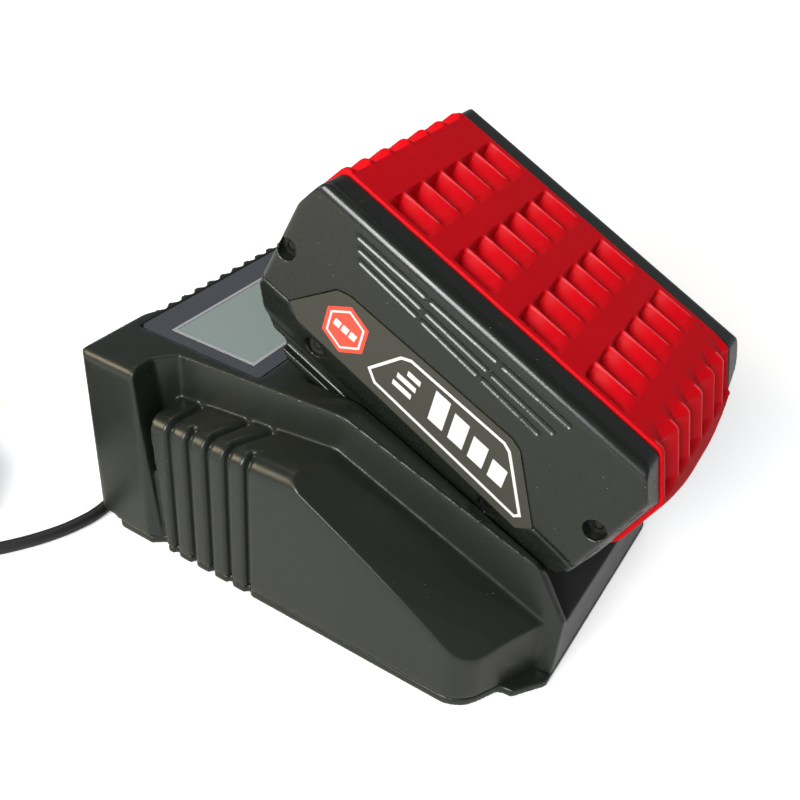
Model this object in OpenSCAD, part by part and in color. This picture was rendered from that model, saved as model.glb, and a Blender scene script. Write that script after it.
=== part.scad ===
// Charger for slide-on power tool battery packs, with its pack docked and its mains lead coiled.
// X runs across the charger, -Y is the front where the pack slides off, Z is up from the table.

/* [Charger housing] */
// Width across the two shoulders at the foot
charger_w = 123.4; // [120:0.2:130]
// Depth of the base from its front wall to its rear wall
charger_d = 142; // [140:0.5:150]
// Height of the rear deck above the table
deck_h = 66; // [64:0.5:70]
// Height of the seam between base and cover
seam_h = 3.8; // [3.4:0.1:4.2]
// Thickness of the housing's walls
wall = 2.4; // [2:0.1:2.8]
// How far the cover's rear wall stands out behind the base
rear_overhang = 8; // [6:0.5:10]
// How much one side of the middle part widens per millimetre of depth
side_taper = 0.08; // [0.075:0.005:0.1]

/* [Shoulders] */
// How far the rear end of the shoulders lies below the deck
shoulder_drop = 14.4; // [13:0.2:16]
// Angle at which the shoulders' vented tops rise towards the front, in degrees
shoulder_rise = 3; // [1:0.5:4]
// Radius of the shoulders' rounded outer edge
shoulder_r = 5; // [4:0.5:6]
// How far a shoulder's inner front corner lies below the dock's sill
shoulder_dip = 0.4; // [0.2:0.2:1.6]
// Forward slope of the shoulders' long top face beside the dock, in degrees
shoulder_pitch = 25.5; // [24.5:0.5:26.5]
// Outward slope of the shoulders' long top face beside the dock, in degrees
shoulder_roll = 4.5; // [3:0.5:6]
// Forward slope of the same face at its outer edge, in degrees
edge_pitch = 28.5; // [27.5:0.5:29.5]
// Outward slope of the same face at its outer edge, in degrees
edge_roll = 32; // [30:0.5:33]
// Angle that the shoulders' front faces sweep back, in degrees
sweep = 27; // [24:0.5:30]
// Radius of the shoulders' rounded front corner
sweep_r = 11; // [8:0.5:12]

/* [Air slots] */
// Number of upright slots in each shoulder
slot_n = 5; // [3:1:5]
// Distance from slot to slot
slot_pitch = 7.05; // [6.5:0.05:7.2]
// Width of a slot's bottom
slot_w = 1.3; // [1:0.1:1.6]
// Depth of a slot
slot_d = 2.1; // [1.6:0.1:2.4]

/* [Dock] */
// Slope of the dock, in degrees
dock_tilt = 25.5; // [24.5:0.5:26.5]
// How far the dock's floor lies below the deck at the front wall
dock_drop = 42.8; // [42:0.2:44]
// Thickness of the dock's side walls at the front wall
dock_wall = 2.7; // [2.5:0.1:3.4]
// Clearance between the pack's neck and the dock's side walls
neck_gap = 0.6; // [0.5:0.1:0.8]
// How far up the dock the pack's middle rests
pack_run = 67.6; // [66:0.2:69]
// Running clearance under and beside the pack
slide_gap = 0.5; // [0.3:0.05:0.6]

/* [Screen] */
// Width of the screen panel
panel_w = 86; // [84:0.5:88]
// Depth of the screen panel
panel_d = 45.6; // [44:0.2:46.4]
// Width of the panel beside the glass
glass_side = 5.5; // [5:0.5:8]
// Depth of the panel before and behind the glass together
glass_ends = 16.6; // [15:0.2:18]

/* [Battery pack] */
// Room beside the cells on each side, for their straps and the pack's wall
side_room = 6; // [5.8:0.1:6.5]
// Room before and behind the cells together
end_room = 24; // [23:0.5:26]
// Room below and above the cells together
level_room = 21.9; // [21.6:0.1:23.3]
// Width of the red grip band
band_w = 58.8; // [56:0.2:60]
// Thickness of the pack's walls
pack_wall = 2.2; // [2:0.1:2.4]
// Rows of grip ribs on the pack's top
rib_rows = 4; // [3:1:4]
// Diameter of a cell
cell_d = 18.3; // [18:0.1:18.4]
// Length of a cell
cell_len = 65; // [64:0.2:66]
// How far the release button travels
button_travel = 2; // [1.5:0.1:2.1]
// How far the release button's lip stands out at the middle
button_lip = 4.2; // [3:0.2:5]

/* [Mains lead] */
// Diameter of the lead
cord_d = 4.2; // [4:0.1:4.4]
// Distance of the lead's exit to the right of the middle
exit_x = 36; // [35:0.5:37]
// Height of the lead's exit
exit_h = 12; // [11:0.5:13]
// Mean diameter of the coiled lead
coil_d = 50.4; // [48:0.2:52]

/* [Hidden] */

housing_black = [0.15, 0.16, 0.15];
pack_black = [0.11, 0.115, 0.11];
pack_red = [0.78, 0.05, 0.07];
steel = [0.7, 0.7, 0.7];
copper = [0.75, 0.5, 0.25];
far = 400;
fit = 0.25;
eps = 0.01;
seam_gap = 0.02;

// Sizes that the cells set, from the pack out to the dock
cell_pitch = cell_d + 0.3;
pack_w = cell_len + 2 * side_room;
pack_len = 5 * cell_pitch + end_room;
pack_h = 2 * cell_pitch + level_room;
neck_w = pack_w - 8;
dock_w = neck_w + 2 * neck_gap;
front_w = dock_w + 2 * dock_wall;

// Places along the charger
front_y = -67.2;
rear_y = front_y + charger_d;
back_y = rear_y + rear_overhang;
half_w = charger_w / 2;
sill_h = deck_h - dock_drop;
shoulder_h = deck_h - shoulder_drop;
shoulder_front_h = sill_h - shoulder_dip;
foot_h = 0.8;
floor_t = 2.2;
floor_z = foot_h + floor_t;
ledge_h = seam_h + 1;
setback = 4.7;
shoulder_y = front_y + setback;
corner_y = shoulder_y + (half_w - half_at(shoulder_y)) * tan(sweep);
shoulder_end = rear_y - 21;
shoulder_lean = 4.4;
fold_r = 60;
fold_n = 4;
fold_x = -half_w + 9.7;
fold_y = front_y + 36;
block_y = shoulder_end + 3.2;
block_lean = 4.6;
block_proud = 0.6;
groove_in = 2.4;
vent_low = 26;
vent_in = 3.2;
vent_w = 66.8;
scallop_r = 2.6;
scallop_pitch = 6.1;
back_wall = wall + vent_in + 1.8;
ridge_y = front_y + 70;
ridge_front_h = sill_h + 1.6;
ridge_step = 10;
ridge_step_h = sill_h + 18;

// Screen
glass_w = panel_w - 2 * glass_side;
glass_d = panel_d - glass_ends;
recess_d = 1.5;
panel_y = back_y - 5.6 - panel_d / 2;
panel_t = 1.3;
glass_y = panel_y - 2;
frame_b = 1.1;
roof = 3.2;
module_t = 6;

// Circuit board and what stands on it
board_z = 8.2;
board_t = 1.6;
board_w = 76;
board_front = front_y + 11;
board_rear = rear_y - 13;
board_top = board_z + board_t;
post_x = board_w / 2 - 6;

// Screws and feet
screw_r = 1.5;
head_r = 3;
boss_h = 6.4;
boss_r = 4.4;
front_boss = [44.5, front_y + 25];
rear_boss = [half_w - 9.2, rear_y - wall - boss_r - fit];
foot_r = 5;
foot_at = [[48, front_y + 20], [48, rear_y - 16]];

// Pack, in its own frame: X across, Y towards the end that holds the terminals, Z away from the dock
half_pack = pack_w / 2;
end_y = pack_len / 2 - 1;
nose_y = -pack_len / 2 - 1;
side_top = pack_h - 0.7;
seam_z = 21.1;
slope_len = 6;
band_proud = 0.7;
rib_len = 13.8;
rib_pitch = 21.2;
rib_n = 6;
rib_gap = 9.42;
rib_first = -20.2;
rib_rear = 38.6;
rib_depth = 2.1;
rib_crest = 0.8;
rib_floor = [1.4, 7];
rib_ramp = 2.8;
rib_end = 1;
fin_x = [-28.2, -17.5, -8.6, 1.8, 12.5, 21.3];
fin_w = 2.2;
body_floor = 10;
cell_low = 17.4 + cell_d / 2;
holder_t = 5;
boss_z = 34;
boss_y = [pack_len / 2 - 6.1, -pack_len / 2 + 5.5];
band_boss_r = 3.2;
low_boss_z = 12.4;
low_boss_y = [33, -30.4];
button_low = 26;
button_top = 47.2;
button_peak = 44.2;
button_back = boss_y[1] - band_boss_r - button_travel - 0.3;
flare_z = 8;
flare_in = 2.6;
label_t = 0.7;
label_d = 0.9;
blade_y = 17;
blade_len = 10;
blade_x = [-9, -3, 3, 9];
block_w = 28;
block_len = 18;

// Lead: points chosen by hand, from the tip of the strain relief to the coil
relief_len = 20;
lead_route = [[exit_x, back_y + relief_len, exit_h], [36, 105.7, 11.7], [34.8, 111.2, 10.6],
    [31, 117.3, 8.8], [24.5, 121.5, 6.4], [16.5, 122.5, 4.2], [9.5, 120.5, 2.9], [0, 115.5, 2.2],
    [-10, 110.2, 2.1], [-21, 104.3, 2.1], [-32, 98.3, 2.1], [-41, 92.7, 2.1], [-48, 87.7, 2.1],
    [-55, 84.1, 2.1], [-63, 83.1, 2.1], [-71, 84.4, 2.1], [-79, 87.3, 2.1], [-87, 91.6, 2.1],
    [-95, 97.1, 2.1], [-103.5, 103.5, 2.1], [-112, 109.8, 2.1], [-120, 115.6, 2.1]];
coil_at = [-103.2, 140.1];
turn_gap = 4.3;
coil_h = cord_d + 2 * turn_gap;
coil_out = coil_d / 2 + turn_gap + cord_d / 2;
coil_in = coil_d / 2 - turn_gap - cord_d / 2;
tie_angle = 290;
plug_len = 33;
plug_w = 25;
plug_h = 13.6;
plug_tail = 6;
plug_at = [-87.2, 158.3, coil_h + 0.3];
tail_route = [[-115.2, 122.9, 10.7], [-121, 127.7, 11.4], [-125, 133.5, 12.7], [-126.6, 140.1, 14.4],
    [-126.1, 145.7, 15.8], [-123.6, 151, 17.1], [-119.5, 155.2, 18.5], [-114.2, 157.7, 19.6],
    [-110, 158.3, 19.9]];
pin_r = 2;
pin_len = 19;
pin_gap = 18.6;

// ---- outlines

function unit(v) = v / norm(v);
function half_at(y) = front_w / 2 + side_taper * (y - front_y);
function floor_at(y) = sill_h + (y - front_y) * tan(dock_tilt);

// The arc that rounds corner b, between a and c, to radius r
function corner(a, b, c, r, n) = r <= 0 ? [b] :
    let (u = unit(a - b), v = unit(c - b), half = acos(u * v) / 2, m = b + unit(u + v) * r / sin(half),
        p = b + u * r / tan(half) - m, q = b + v * r / tan(half) - m,
        start = atan2(p.y, p.x), turn = (atan2(q.y, q.x) - start + 540) % 360 - 180)
    [for (i = [0:n]) m + r * [cos(start + turn * i / n), sin(start + turn * i / n)]];

// An outline from points [x, y, radius of the corner]
function rounded(pts, n = 5) = let (k = len(pts)) [for (i = [0:k - 1])
    let (a = pts[(i + k - 1) % k], b = pts[i], c = pts[(i + 1) % k])
    each corner([a.x, a.y], [b.x, b.y], [c.x, c.y], b[2] == undef ? 0 : b[2], n)];

// Both halves of an outline that is given for -X
function both(pts) = concat(pts, [for (i = [len(pts) - 1:-1:0]) let (p = pts[i])
    len(p) > 2 ? [-p.x, p.y, p[2]] : [-p.x, p.y]]);

module along_x(length, from = 0) {
    translate([from, 0, 0]) rotate([90, 0, 90]) linear_extrude(height = length, center = from == 0)
        children();
}

module along_y(length) {
    rotate([90, 0, 0]) linear_extrude(height = length, center = true) children();
}

module both_sides() {
    children();
    mirror([1, 0, 0]) children();
}

module in_pack() {
    translate([0, front_y + pack_run * cos(dock_tilt), sill_h + pack_run * sin(dock_tilt)])
        rotate([dock_tilt, 0, 0]) translate([0, 0, slide_gap]) children();
}

module tube_x(r, from, to) {
    translate([from, 0, 0]) rotate([0, 90, 0]) cylinder(r = r, h = to - from, $fn = 32);
}

// ---- housing

// Normal of a plane that slopes forward by pitch and outward by roll
function upward(pitch, roll) = [-sin(roll) * cos(pitch), -sin(pitch), cos(roll) * cos(pitch)];

// Space above a shoulder's long top face, lowered by inset. The face turns from its inner slope
// to its outer one in planes that touch a ball of radius fold_r.
module above_slope(inset) {
    inner = upward(shoulder_pitch, shoulder_roll);
    outer = upward(edge_pitch, edge_roll);
    fold_z = shoulder_front_h
        - (inner.x * (fold_x + half_at(shoulder_y)) + inner.y * (fold_y - shoulder_y)) / inner.z;
    centre = [fold_x, fold_y, fold_z] - fold_r * (inner + outer) / (1 + inner * outer);
    for (k = [0:fold_n]) {
        pitch = shoulder_pitch + (edge_pitch - shoulder_pitch) * k / fold_n;
        roll = shoulder_roll + (edge_roll - shoulder_roll) * k / fold_n;
        translate(centre + (fold_r - inset) * upward(pitch, roll)) rotate([pitch, -roll, 0])
            translate([-far / 2, -far / 2, 0]) cube([far, far, far]);
    }
}

module shoulder(inset) {
    plan = rounded([[0, shoulder_y + inset], [-half_at(shoulder_y), shoulder_y + inset],
        [-half_w + inset, corner_y + inset * (1 - tan(sweep)), max(1, sweep_r - inset)],
        [-half_w + inset, far / 2], [0, far / 2]], 8);
    section = rounded([[0, -deck_h], [-half_w + inset, -deck_h],
        [-half_w + inset, -inset, max(1, shoulder_r - inset)], [0, -inset]], 8);
    side = [[-far / 2, seam_h - eps], [shoulder_end - inset, seam_h - eps],
        [shoulder_end + shoulder_lean - inset, deck_h], [-far / 2, deck_h]];
    difference() {
        intersection() {
            linear_extrude(height = deck_h) polygon(plan);
            translate([0, shoulder_end, shoulder_h]) rotate([-shoulder_rise, 0, 0])
                along_y(far) polygon(section);
            along_x(far) polygon(side);
        }
        above_slope(inset);
    }
}

module rear_block(inset) {
    out = half_w + block_proud - inset;
    section = rounded([[0, 0], [-out, 0], [-out, deck_h - inset, max(1, 3.5 - inset)], [0, deck_h - inset]]);
    side = rounded([[block_y + inset, seam_h - eps], [block_y + block_lean + inset, deck_h - inset, 1],
        [back_y - 1 - inset, deck_h - inset, 2], [back_y - inset, seam_h - eps]]);
    plan = rounded([[0, block_y - 4], [-half_at(block_y) - 1, block_y - 4], [-out + 2, block_y],
        [-out, block_y + 4, 3], [-out, back_y - inset, 4], [0, back_y - inset]]);
    intersection() {
        linear_extrude(height = deck_h) polygon(plan);
        along_y(far) polygon(section);
        along_x(far) polygon(side);
    }
}

// Bottom of the shallow groove between a shoulder and the corner block behind it,
// and the slanting face that joins that block to the middle part
module block_joint() {
    inner = -half_at(block_y);
    translate([-half_w + groove_in, shoulder_end - 3, seam_h - eps])
        cube([half_w + inner - groove_in + 1, block_y - shoulder_end + 4, shoulder_h - seam_h - 3]);
    translate([0, 0, shoulder_h - 4]) linear_extrude(height = deck_h - shoulder_h + 4)
        polygon([[inner + 1, block_y], [inner - 0.6, block_y + 0.3], [-half_w + 6.6, block_y + 5.9],
            [-half_w + 6.6, block_y + 9], [inner + 1, block_y + 9]]);
}

module core() {
    side = rounded([[front_y, seam_h], [front_y, ridge_front_h], [front_y + ridge_step, ridge_step_h, 3],
        [ridge_y, deck_h, 12], [back_y - 1, deck_h, 2], [back_y, seam_h]]);
    plan = both([[-half_at(front_y), front_y], [-half_at(back_y), back_y]]);
    intersection() {
        linear_extrude(height = deck_h) polygon(plan);
        along_x(far) polygon(side);
    }
}

module core_cavity() {
    top_y = front_y + (deck_h - sill_h) / tan(dock_tilt);
    drop = wall / cos(dock_tilt) + 0.2;
    side = [[front_y + wall, -1], [front_y + wall, floor_at(front_y + wall) - drop],
        [top_y, deck_h - roof], [back_y - back_wall, deck_h - roof], [back_y - back_wall, vent_low - 2],
        [back_y - wall, vent_low - 8], [back_y - wall, ledge_h + wall],
        [rear_y - wall, ledge_h + wall], [rear_y - wall, -1]];
    plan = both([[-half_at(front_y) + wall, front_y], [-half_at(back_y) + wall, back_y]]);
    intersection() {
        translate([0, 0, -1]) linear_extrude(height = deck_h) polygon(plan);
        along_x(far) polygon(side);
    }
}

// One air slot: flared mouth, straight bottom, s across the slot and d into the wall
function slot_shape() = [[-slot_w / 2 - 1, -1], [slot_w / 2 + 1, -1], [slot_w / 2 + 0.9, 0],
    [slot_w / 2 + 0.3, 0.5], [slot_w / 2, 1.2], [slot_w / 2, slot_d], [-slot_w / 2, slot_d],
    [-slot_w / 2, 1.2], [-slot_w / 2 - 0.3, 0.5], [-slot_w / 2 - 0.9, 0]];

module air_slot(i) {
    y = shoulder_end - 3.6 - i * slot_pitch;
    fan = 7 + 5.75 * i;
    top = shoulder_h + (shoulder_end - y) * tan(shoulder_rise);
    bend_x = -half_w + shoulder_r;
    bend_z = top - shoulder_r;
    reach = bend_x + half_at(y);
    translate([0, y, 0]) {
        translate([-half_w, 0, -1]) linear_extrude(height = bend_z + 1)
            polygon([for (p = slot_shape()) [p.y, p.x]]);
        translate([bend_x, 0, bend_z]) rotate([90, 0, 0]) rotate_extrude(angle = 90, start = 90, $fn = 32)
            polygon([for (p = slot_shape()) [shoulder_r - p.y, p.x]]);
        translate([bend_x, 0, top]) {
            rotate_extrude($fn = 24)
                polygon(concat([[0, 1]], [for (p = slot_shape()) if (p.x > 0) [p.x, -p.y]], [[0, -slot_d]]));
            rotate([0, 0, -fan]) rotate([90, 0, 90]) linear_extrude(height = -reach / cos(fan))
                polygon([for (p = slot_shape()) [p.x, -p.y]]);
        }
    }
}

module air_slots() {
    for (i = [0:slot_n - 1]) air_slot(i);
}

// Scalloped air recess in the middle of the rear wall
module rear_vent() {
    translate([0, 0, vent_low]) linear_extrude(height = deck_h)
        polygon(both([[-vent_w / 2 - 9.6, back_y + 1], [-vent_w / 2, back_y - vent_in]]));
    for (i = [-5:5]) translate([i * scallop_pitch, back_y - vent_in + scallop_r / 2, vent_low + 3])
        linear_extrude(height = deck_h) circle(r = scallop_r, $fn = 24);
}

module screw_posts() {
    for (p = [front_boss, rear_boss]) translate([p.x, p.y, boss_h + 0.1])
        cylinder(r = 3.8, h = deck_h, $fn = 32);
}

module dock_space() {
    in_pack() along_y(far) polygon(both([[-dock_w / 2, -slide_gap], [-dock_w / 2, flare_z],
        [-half_pack + flare_in - neck_gap, flare_z + 3.2], [-half_pack - neck_gap, seam_z],
        [-half_pack - neck_gap, far]]));
}

module dock_rails() {
    in_pack() both_sides() translate([-dock_w / 2 - eps, -50, 3])
        cube([(dock_w - neck_w) / 2 + 1.5, 68, 2.2]);
}

module top_cover() {
    color(housing_black) {
        difference() {
            union() {
                difference() {
                    union() {
                        core();
                        both_sides() {
                            shoulder(0);
                            rear_block(0);
                            block_joint();
                        }
                    }
                    core_cavity();
                    both_sides() {
                        intersection() {
                            shoulder(wall + slot_d);
                            translate([-far, -far / 2, -1]) cube([far, far, far]);
                        }
                        rear_room();
                    }
                    cavity_mouth();
                }
                both_sides() intersection() {
                    union() {
                        shoulder(0);
                        rear_block(0);
                    }
                    mirror([1, 0, 0]) screw_posts();
                }
            }
            dock_space();
            both_sides() air_slots();
            rear_vent();
            translate([-panel_w / 2, panel_y - panel_d / 2, deck_h - recess_d])
                linear_extrude(height = 9) square([panel_w, panel_d]);
            translate([0, glass_y, deck_h - roof - 1])
                linear_extrude(height = 9) square([glass_w + 4, glass_d + 3], center = true);
            in_pack() translate([-block_w / 2 - fit, blade_y - block_len / 2 - fit, -far])
                cube([block_w + 2 * fit, block_len + 2 * fit, far]);
            both_sides() for (p = [front_boss, rear_boss]) translate([-p.x, p.y, 0])
                cylinder(r = screw_r + 0.05, h = 20, $fn = 32);
            translate([exit_x, back_y - 8, exit_h]) rotate([-90, 0, 0]) cylinder(r = 4, h = 20, $fn = 40);
            translate([-far / 2, rear_y, -1]) cube([far, far, ledge_h + 1]);
        }
        dock_rails();
    }
}

// Room inside a rear corner block, for its screw post
module rear_room() {
    side = [[block_y + 3, -1], [block_y + 3 + block_lean, deck_h - roof],
        [back_y - wall - 1, deck_h - roof], [back_y - wall, ledge_h + wall],
        [rear_y - wall, ledge_h + wall], [rear_y - wall, -1]];
    intersection() {
        along_x(far) polygon(side);
        translate([-half_w + wall, -far / 2, -1]) cube([half_w - vent_w / 2 - 10 - wall, far, far]);
    }
}

// The opening under the cover, just above the seam
module cavity_mouth() {
    translate([0, 0, -1]) linear_extrude(height = seam_h + 1 + eps)
        polygon(both(rounded([[-half_at(front_y) + wall, front_y + wall],
            [-half_w + wall + slot_d, corner_y + 4, 6], [-half_w + wall + slot_d, shoulder_end - wall]])));
}

module base_outline() {
    toe = front_y + 6.4;
    polygon(rounded(both([[-half_at(front_y), front_y], [-half_at(front_y) - 2.2, front_y],
        [-half_at(front_y) - 11, toe], [-half_at(front_y) - 11.6, shoulder_y + 11 * tan(sweep)],
        [-half_w, corner_y, sweep_r], [-half_w, shoulder_end], [-half_w + groove_in, shoulder_end + 0.2],
        [-half_w + groove_in, block_y - 0.2], [-half_w - block_proud, block_y + 3],
        [-half_w - block_proud, rear_y, 3]])));
}

module base_shell() {
    color(housing_black) difference() {
        union() {
            difference() {
                translate([0, 0, foot_h]) linear_extrude(height = seam_h - foot_h - seam_gap) base_outline();
                translate([0, 0, floor_z]) linear_extrude(height = far)
                    polygon(both(rounded([[-half_at(front_y) + 2 * wall, front_y + 2 * wall],
                        [-half_w + 2 * wall + slot_d, corner_y + 6, 6],
                        [-half_w + 2 * wall + slot_d, rear_y - 2 * wall]])));
            }
            for (x = [-post_x, post_x], y = [board_front + 5, 0, board_rear - 5])
                translate([x, y, floor_z - eps]) cylinder(r = 3.2, h = board_z - floor_z, $fn = 32);
            both_sides() for (p = [front_boss, rear_boss]) translate([-p.x, p.y, foot_h])
                cylinder(r = boss_r, h = boss_h - foot_h, $fn = 32);
            both_sides() translate([-half_w + wall + slot_d + fit, -20, floor_z])
                cube([1.6, 50, boss_h - floor_z]);
            translate([-24, front_y + wall + fit, floor_z]) cube([48, 1.6, boss_h - floor_z]);
        }
        both_sides() {
            for (p = [front_boss, rear_boss]) translate([-p.x, p.y, 0]) {
                cylinder(r = head_r + 0.2, h = floor_z + 0.8, $fn = 32);
                cylinder(r = screw_r + 0.2, h = far, $fn = 32);
            }
            for (p = foot_at) translate([-p.x, p.y, 0]) cylinder(r = foot_r + 0.1, h = foot_h + 0.6, $fn = 40);
            for (i = [0:slot_n - 1]) translate([0, shoulder_end - 3.6 - i * slot_pitch, -1])
                translate([-half_w, 0, 0]) linear_extrude(height = far)
                    polygon([for (p = slot_shape()) [p.y, p.x]]);
        }
        for (i = [-3:3]) translate([i * 6, -22, 0]) linear_extrude(height = far)
            square([2.2, 26], center = true);
    }
}

module rubber_feet() {
    color([0.05, 0.05, 0.05]) both_sides() for (p = foot_at) translate([-p.x, p.y, 0])
        cylinder(r = foot_r, h = foot_h + 0.6, $fn = 40);
}

module housing_screws() {
    color(steel) both_sides() for (p = [front_boss, rear_boss]) translate([-p.x, p.y, floor_z - 1.4]) {
        cylinder(r = head_r, h = 2.2, $fn = 32);
        cylinder(r = screw_r, h = 15, $fn = 32);
    }
}

// ---- screen

module display_panel() {
    color([0.2, 0.22, 0.27]) translate([0, 0, deck_h - recess_d]) difference() {
        translate([0, panel_y, 0]) linear_extrude(height = panel_t)
            polygon(both(rounded([[0, -panel_d / 2 + fit], [-panel_w / 2 + fit, -panel_d / 2 + fit, 1.5],
                [-panel_w / 2 + fit, panel_d / 2 - fit, 2.5], [0, panel_d / 2 - fit]])));
        translate([0, glass_y, -1]) linear_extrude(height = 5)
            square([glass_w + 2 * frame_b + 0.1, glass_d + 2 * frame_b + 0.1], center = true);
    }
}

module display_frame() {
    color([0.66, 0.68, 0.72]) translate([0, glass_y, deck_h - recess_d]) linear_extrude(height = panel_t + 0.15)
        difference() {
            square([glass_w + 2 * frame_b, glass_d + 2 * frame_b], center = true);
            square([glass_w + 0.1, glass_d + 0.1], center = true);
        }
}

module display_window() {
    color([0.52, 0.6, 0.58]) translate([-glass_w / 2, glass_y - glass_d / 2, deck_h - recess_d])
        cube([glass_w, glass_d, panel_t]);
}

module display_module() {
    color([0.1, 0.3, 0.15]) {
        translate([-glass_w / 2 - 1.5, glass_y - glass_d / 2 - 1, deck_h - recess_d - module_t])
            cube([glass_w + 3, glass_d + 2, module_t - 0.1]);
        translate([-panel_w / 2 + 3, glass_y - glass_d / 2 - 3, deck_h - recess_d - module_t - 1.6])
            cube([panel_w - 6, glass_d + 6, 1.6]);
    }
}

module display_ribbon() {
    top = deck_h - recess_d - module_t - 1.6;
    color([0.8, 0.8, 0.78]) translate([-10, board_rear - 2, board_top]) cube([20, 0.5, top - board_top]);
}

// ---- circuit board

module main_board() {
    color([0.08, 0.35, 0.16]) {
        translate([-board_w / 2, board_front, board_z]) cube([board_w, board_rear - board_front, board_t]);
        translate([-30, board_front + 4, board_top - eps]) cube([14, 10, 1.6]);
        translate([12, board_front + 5, board_top - eps]) cube([9, 7, 1.4]);
        translate([exit_x - 4, board_rear - 12, board_top - eps]) cube([6, 9, 5]);
    }
}

module transformer() {
    at = [2, rear_y - 44, board_top];
    translate(at) {
        color([0.25, 0.22, 0.2]) difference() {
            translate([-16, -14, 2]) cube([32, 28, 22]);
            translate([-11, -15, 7]) cube([22, 30, 12]);
        }
        color([0.85, 0.75, 0.3]) {
            translate([-10.9, -12, 7.1]) cube([21.8, 24, 11.8]);
            translate([-12, -12, 0]) cube([24, 24, 2]);
        }
    }
}

module bulk_capacitors() {
    color([0.12, 0.14, 0.3]) for (y = [rear_y - 58, rear_y - 38]) translate([-25, y, board_top])
        cylinder(r = 7.8, h = 24, $fn = 40);
}

module line_choke() {
    color(copper) translate([22, board_rear - 11, board_top + 5]) rotate([0, 90, 0])
        translate([-4, 0, 0]) rotate_extrude($fn = 40) translate([6, 0]) circle(r = 2.9, $fn = 24);
}

module fuse() {
    color([0.85, 0.85, 0.8]) translate([28, rear_y - 46, board_top + 2.7]) rotate([-90, 0, 0])
        cylinder(r = 2.6, h = 20, $fn = 32);
}

module heat_sink() {
    color([0.75, 0.76, 0.78]) translate([-28, -24, board_top]) {
        cube([56, 2.4, 17]);
        for (i = [0:9]) translate([i * 6, 2, 0]) cube([1.6, 12, 17]);
    }
}

module power_transistors() {
    color([0.1, 0.1, 0.1]) for (x = [-16, 0, 16]) translate([x - 5, -28.7, board_top + 0.1])
        cube([10, 4.6, 15]);
}

module inlet_leads() {
    color([0.45, 0.25, 0.12]) for (dx = [-1.3, 1.3]) translate([exit_x + dx, board_rear - 3, exit_h])
        rotate([-90, 0, 0]) cylinder(r = 1.1, h = back_y - wall - board_rear + 0.8, $fn = 24);
}

// ---- dock contacts

module contact_block() {
    color([0.1, 0.1, 0.1]) in_pack() difference() {
        union() {
            translate([-block_w / 2, blade_y - block_len / 2, -5]) cube([block_w, block_len, 5.1]);
            translate([-block_w / 2 - 2, blade_y - block_len / 2 - 2, -7.6])
                cube([block_w + 4, block_len + 4, 3.4]);
        }
        for (x = blade_x) translate([x - 0.45, blade_y - blade_len / 2 - 0.05, -9])
            cube([0.9, blade_len + 0.1, 12]);
    }
}

module contact_blades() {
    color(steel) in_pack() for (x = blade_x) translate([x - 0.4, blade_y - blade_len / 2, -7.6])
        cube([0.8, blade_len, 13.6]);
}

module contact_leads() {
    y = front_y + (pack_run + blade_y) * cos(dock_tilt);
    z = floor_at(y) - 11.2 / cos(dock_tilt);
    color([0.6, 0.1, 0.1]) for (x = blade_x) translate([x, y + 3.2, board_top])
        cylinder(r = 0.9, h = z - board_top, $fn = 24);
}

// ---- mains lead

module strain_relief() {
    ring = [for (i = [0:3]) each [[5 - 0.45 * i, 4.6 + 3.4 * i], [4.8 - 0.45 * i, 6.9 + 3.4 * i],
        [3.7 - 0.3 * i, 6.9 + 3.4 * i], [3.6 - 0.3 * i, 8 + 3.4 * i]]];
    profile = concat([[0, -wall - 2], [4.7, -wall - 2], [4.7, -wall - 0.4], [3.9, -wall - 0.4], [3.9, 0.1],
        [5.9, 0.1], [5.9, 2.6], [5.3, 3.6]], ring, [[cord_d / 2 + 0.4, relief_len], [0, relief_len]]);
    color([0.07, 0.07, 0.07]) translate([exit_x, back_y, exit_h]) rotate([-90, 0, 0])
        rotate_extrude($fn = 40) polygon(profile);
}

// Points of the tube's rings, one ring for each point of the route
function ring_at(route, i, r, n) = let (last = len(route) - 1,
        d = unit(route[min(i + 1, last)] - route[max(i - 1, 0)]), s = unit(cross(d, [0, 0, 1])), u = cross(s, d))
    [for (k = [0:n - 1]) route[i] + r * (cos(360 * k / n) * s + sin(360 * k / n) * u)];

module tube(route, r, n = 8) {
    last = len(route) - 1;
    points = [for (i = [0:last]) each ring_at(route, i, r, n)];
    sides = [for (i = [0:last - 1], k = [0:n - 1])
        [i * n + k, i * n + (k + 1) % n, (i + 1) * n + (k + 1) % n, (i + 1) * n + k]];
    polyhedron(points, concat([[for (k = [n - 1:-1:0]) k]], sides, [[for (k = [0:n - 1]) last * n + k]]));
}

module power_cord() {
    color([0.04, 0.04, 0.04]) {
        tube(lead_route, cord_d / 2);
        tube(tail_route, cord_d / 2);
    }
}

module cord_coil() {
    color([0.04, 0.04, 0.04]) translate([coil_at.x, coil_at.y, 0]) rotate_extrude($fn = 60)
        translate([coil_in, 0]) polygon(rounded([[0, 0, 2], [coil_out - coil_in, 0, 2],
            [coil_out - coil_in, coil_h, 2], [0, coil_h, 2]], 3));
}

module coil_tie() {
    span = coil_out - coil_in + 2.8;
    color([0.04, 0.04, 0.04]) translate([coil_at.x, coil_at.y, 0]) rotate([0, 0, tie_angle])
        translate([coil_d / 2, 0, 0]) difference() {
            translate([-span / 2, -2.5, 0]) cube([span, 5, coil_h + 1.1]);
            translate([-span / 2 + 1.1, -3, -1]) cube([span - 2.2, 6, coil_h + 1.1]);
        }
}

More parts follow.
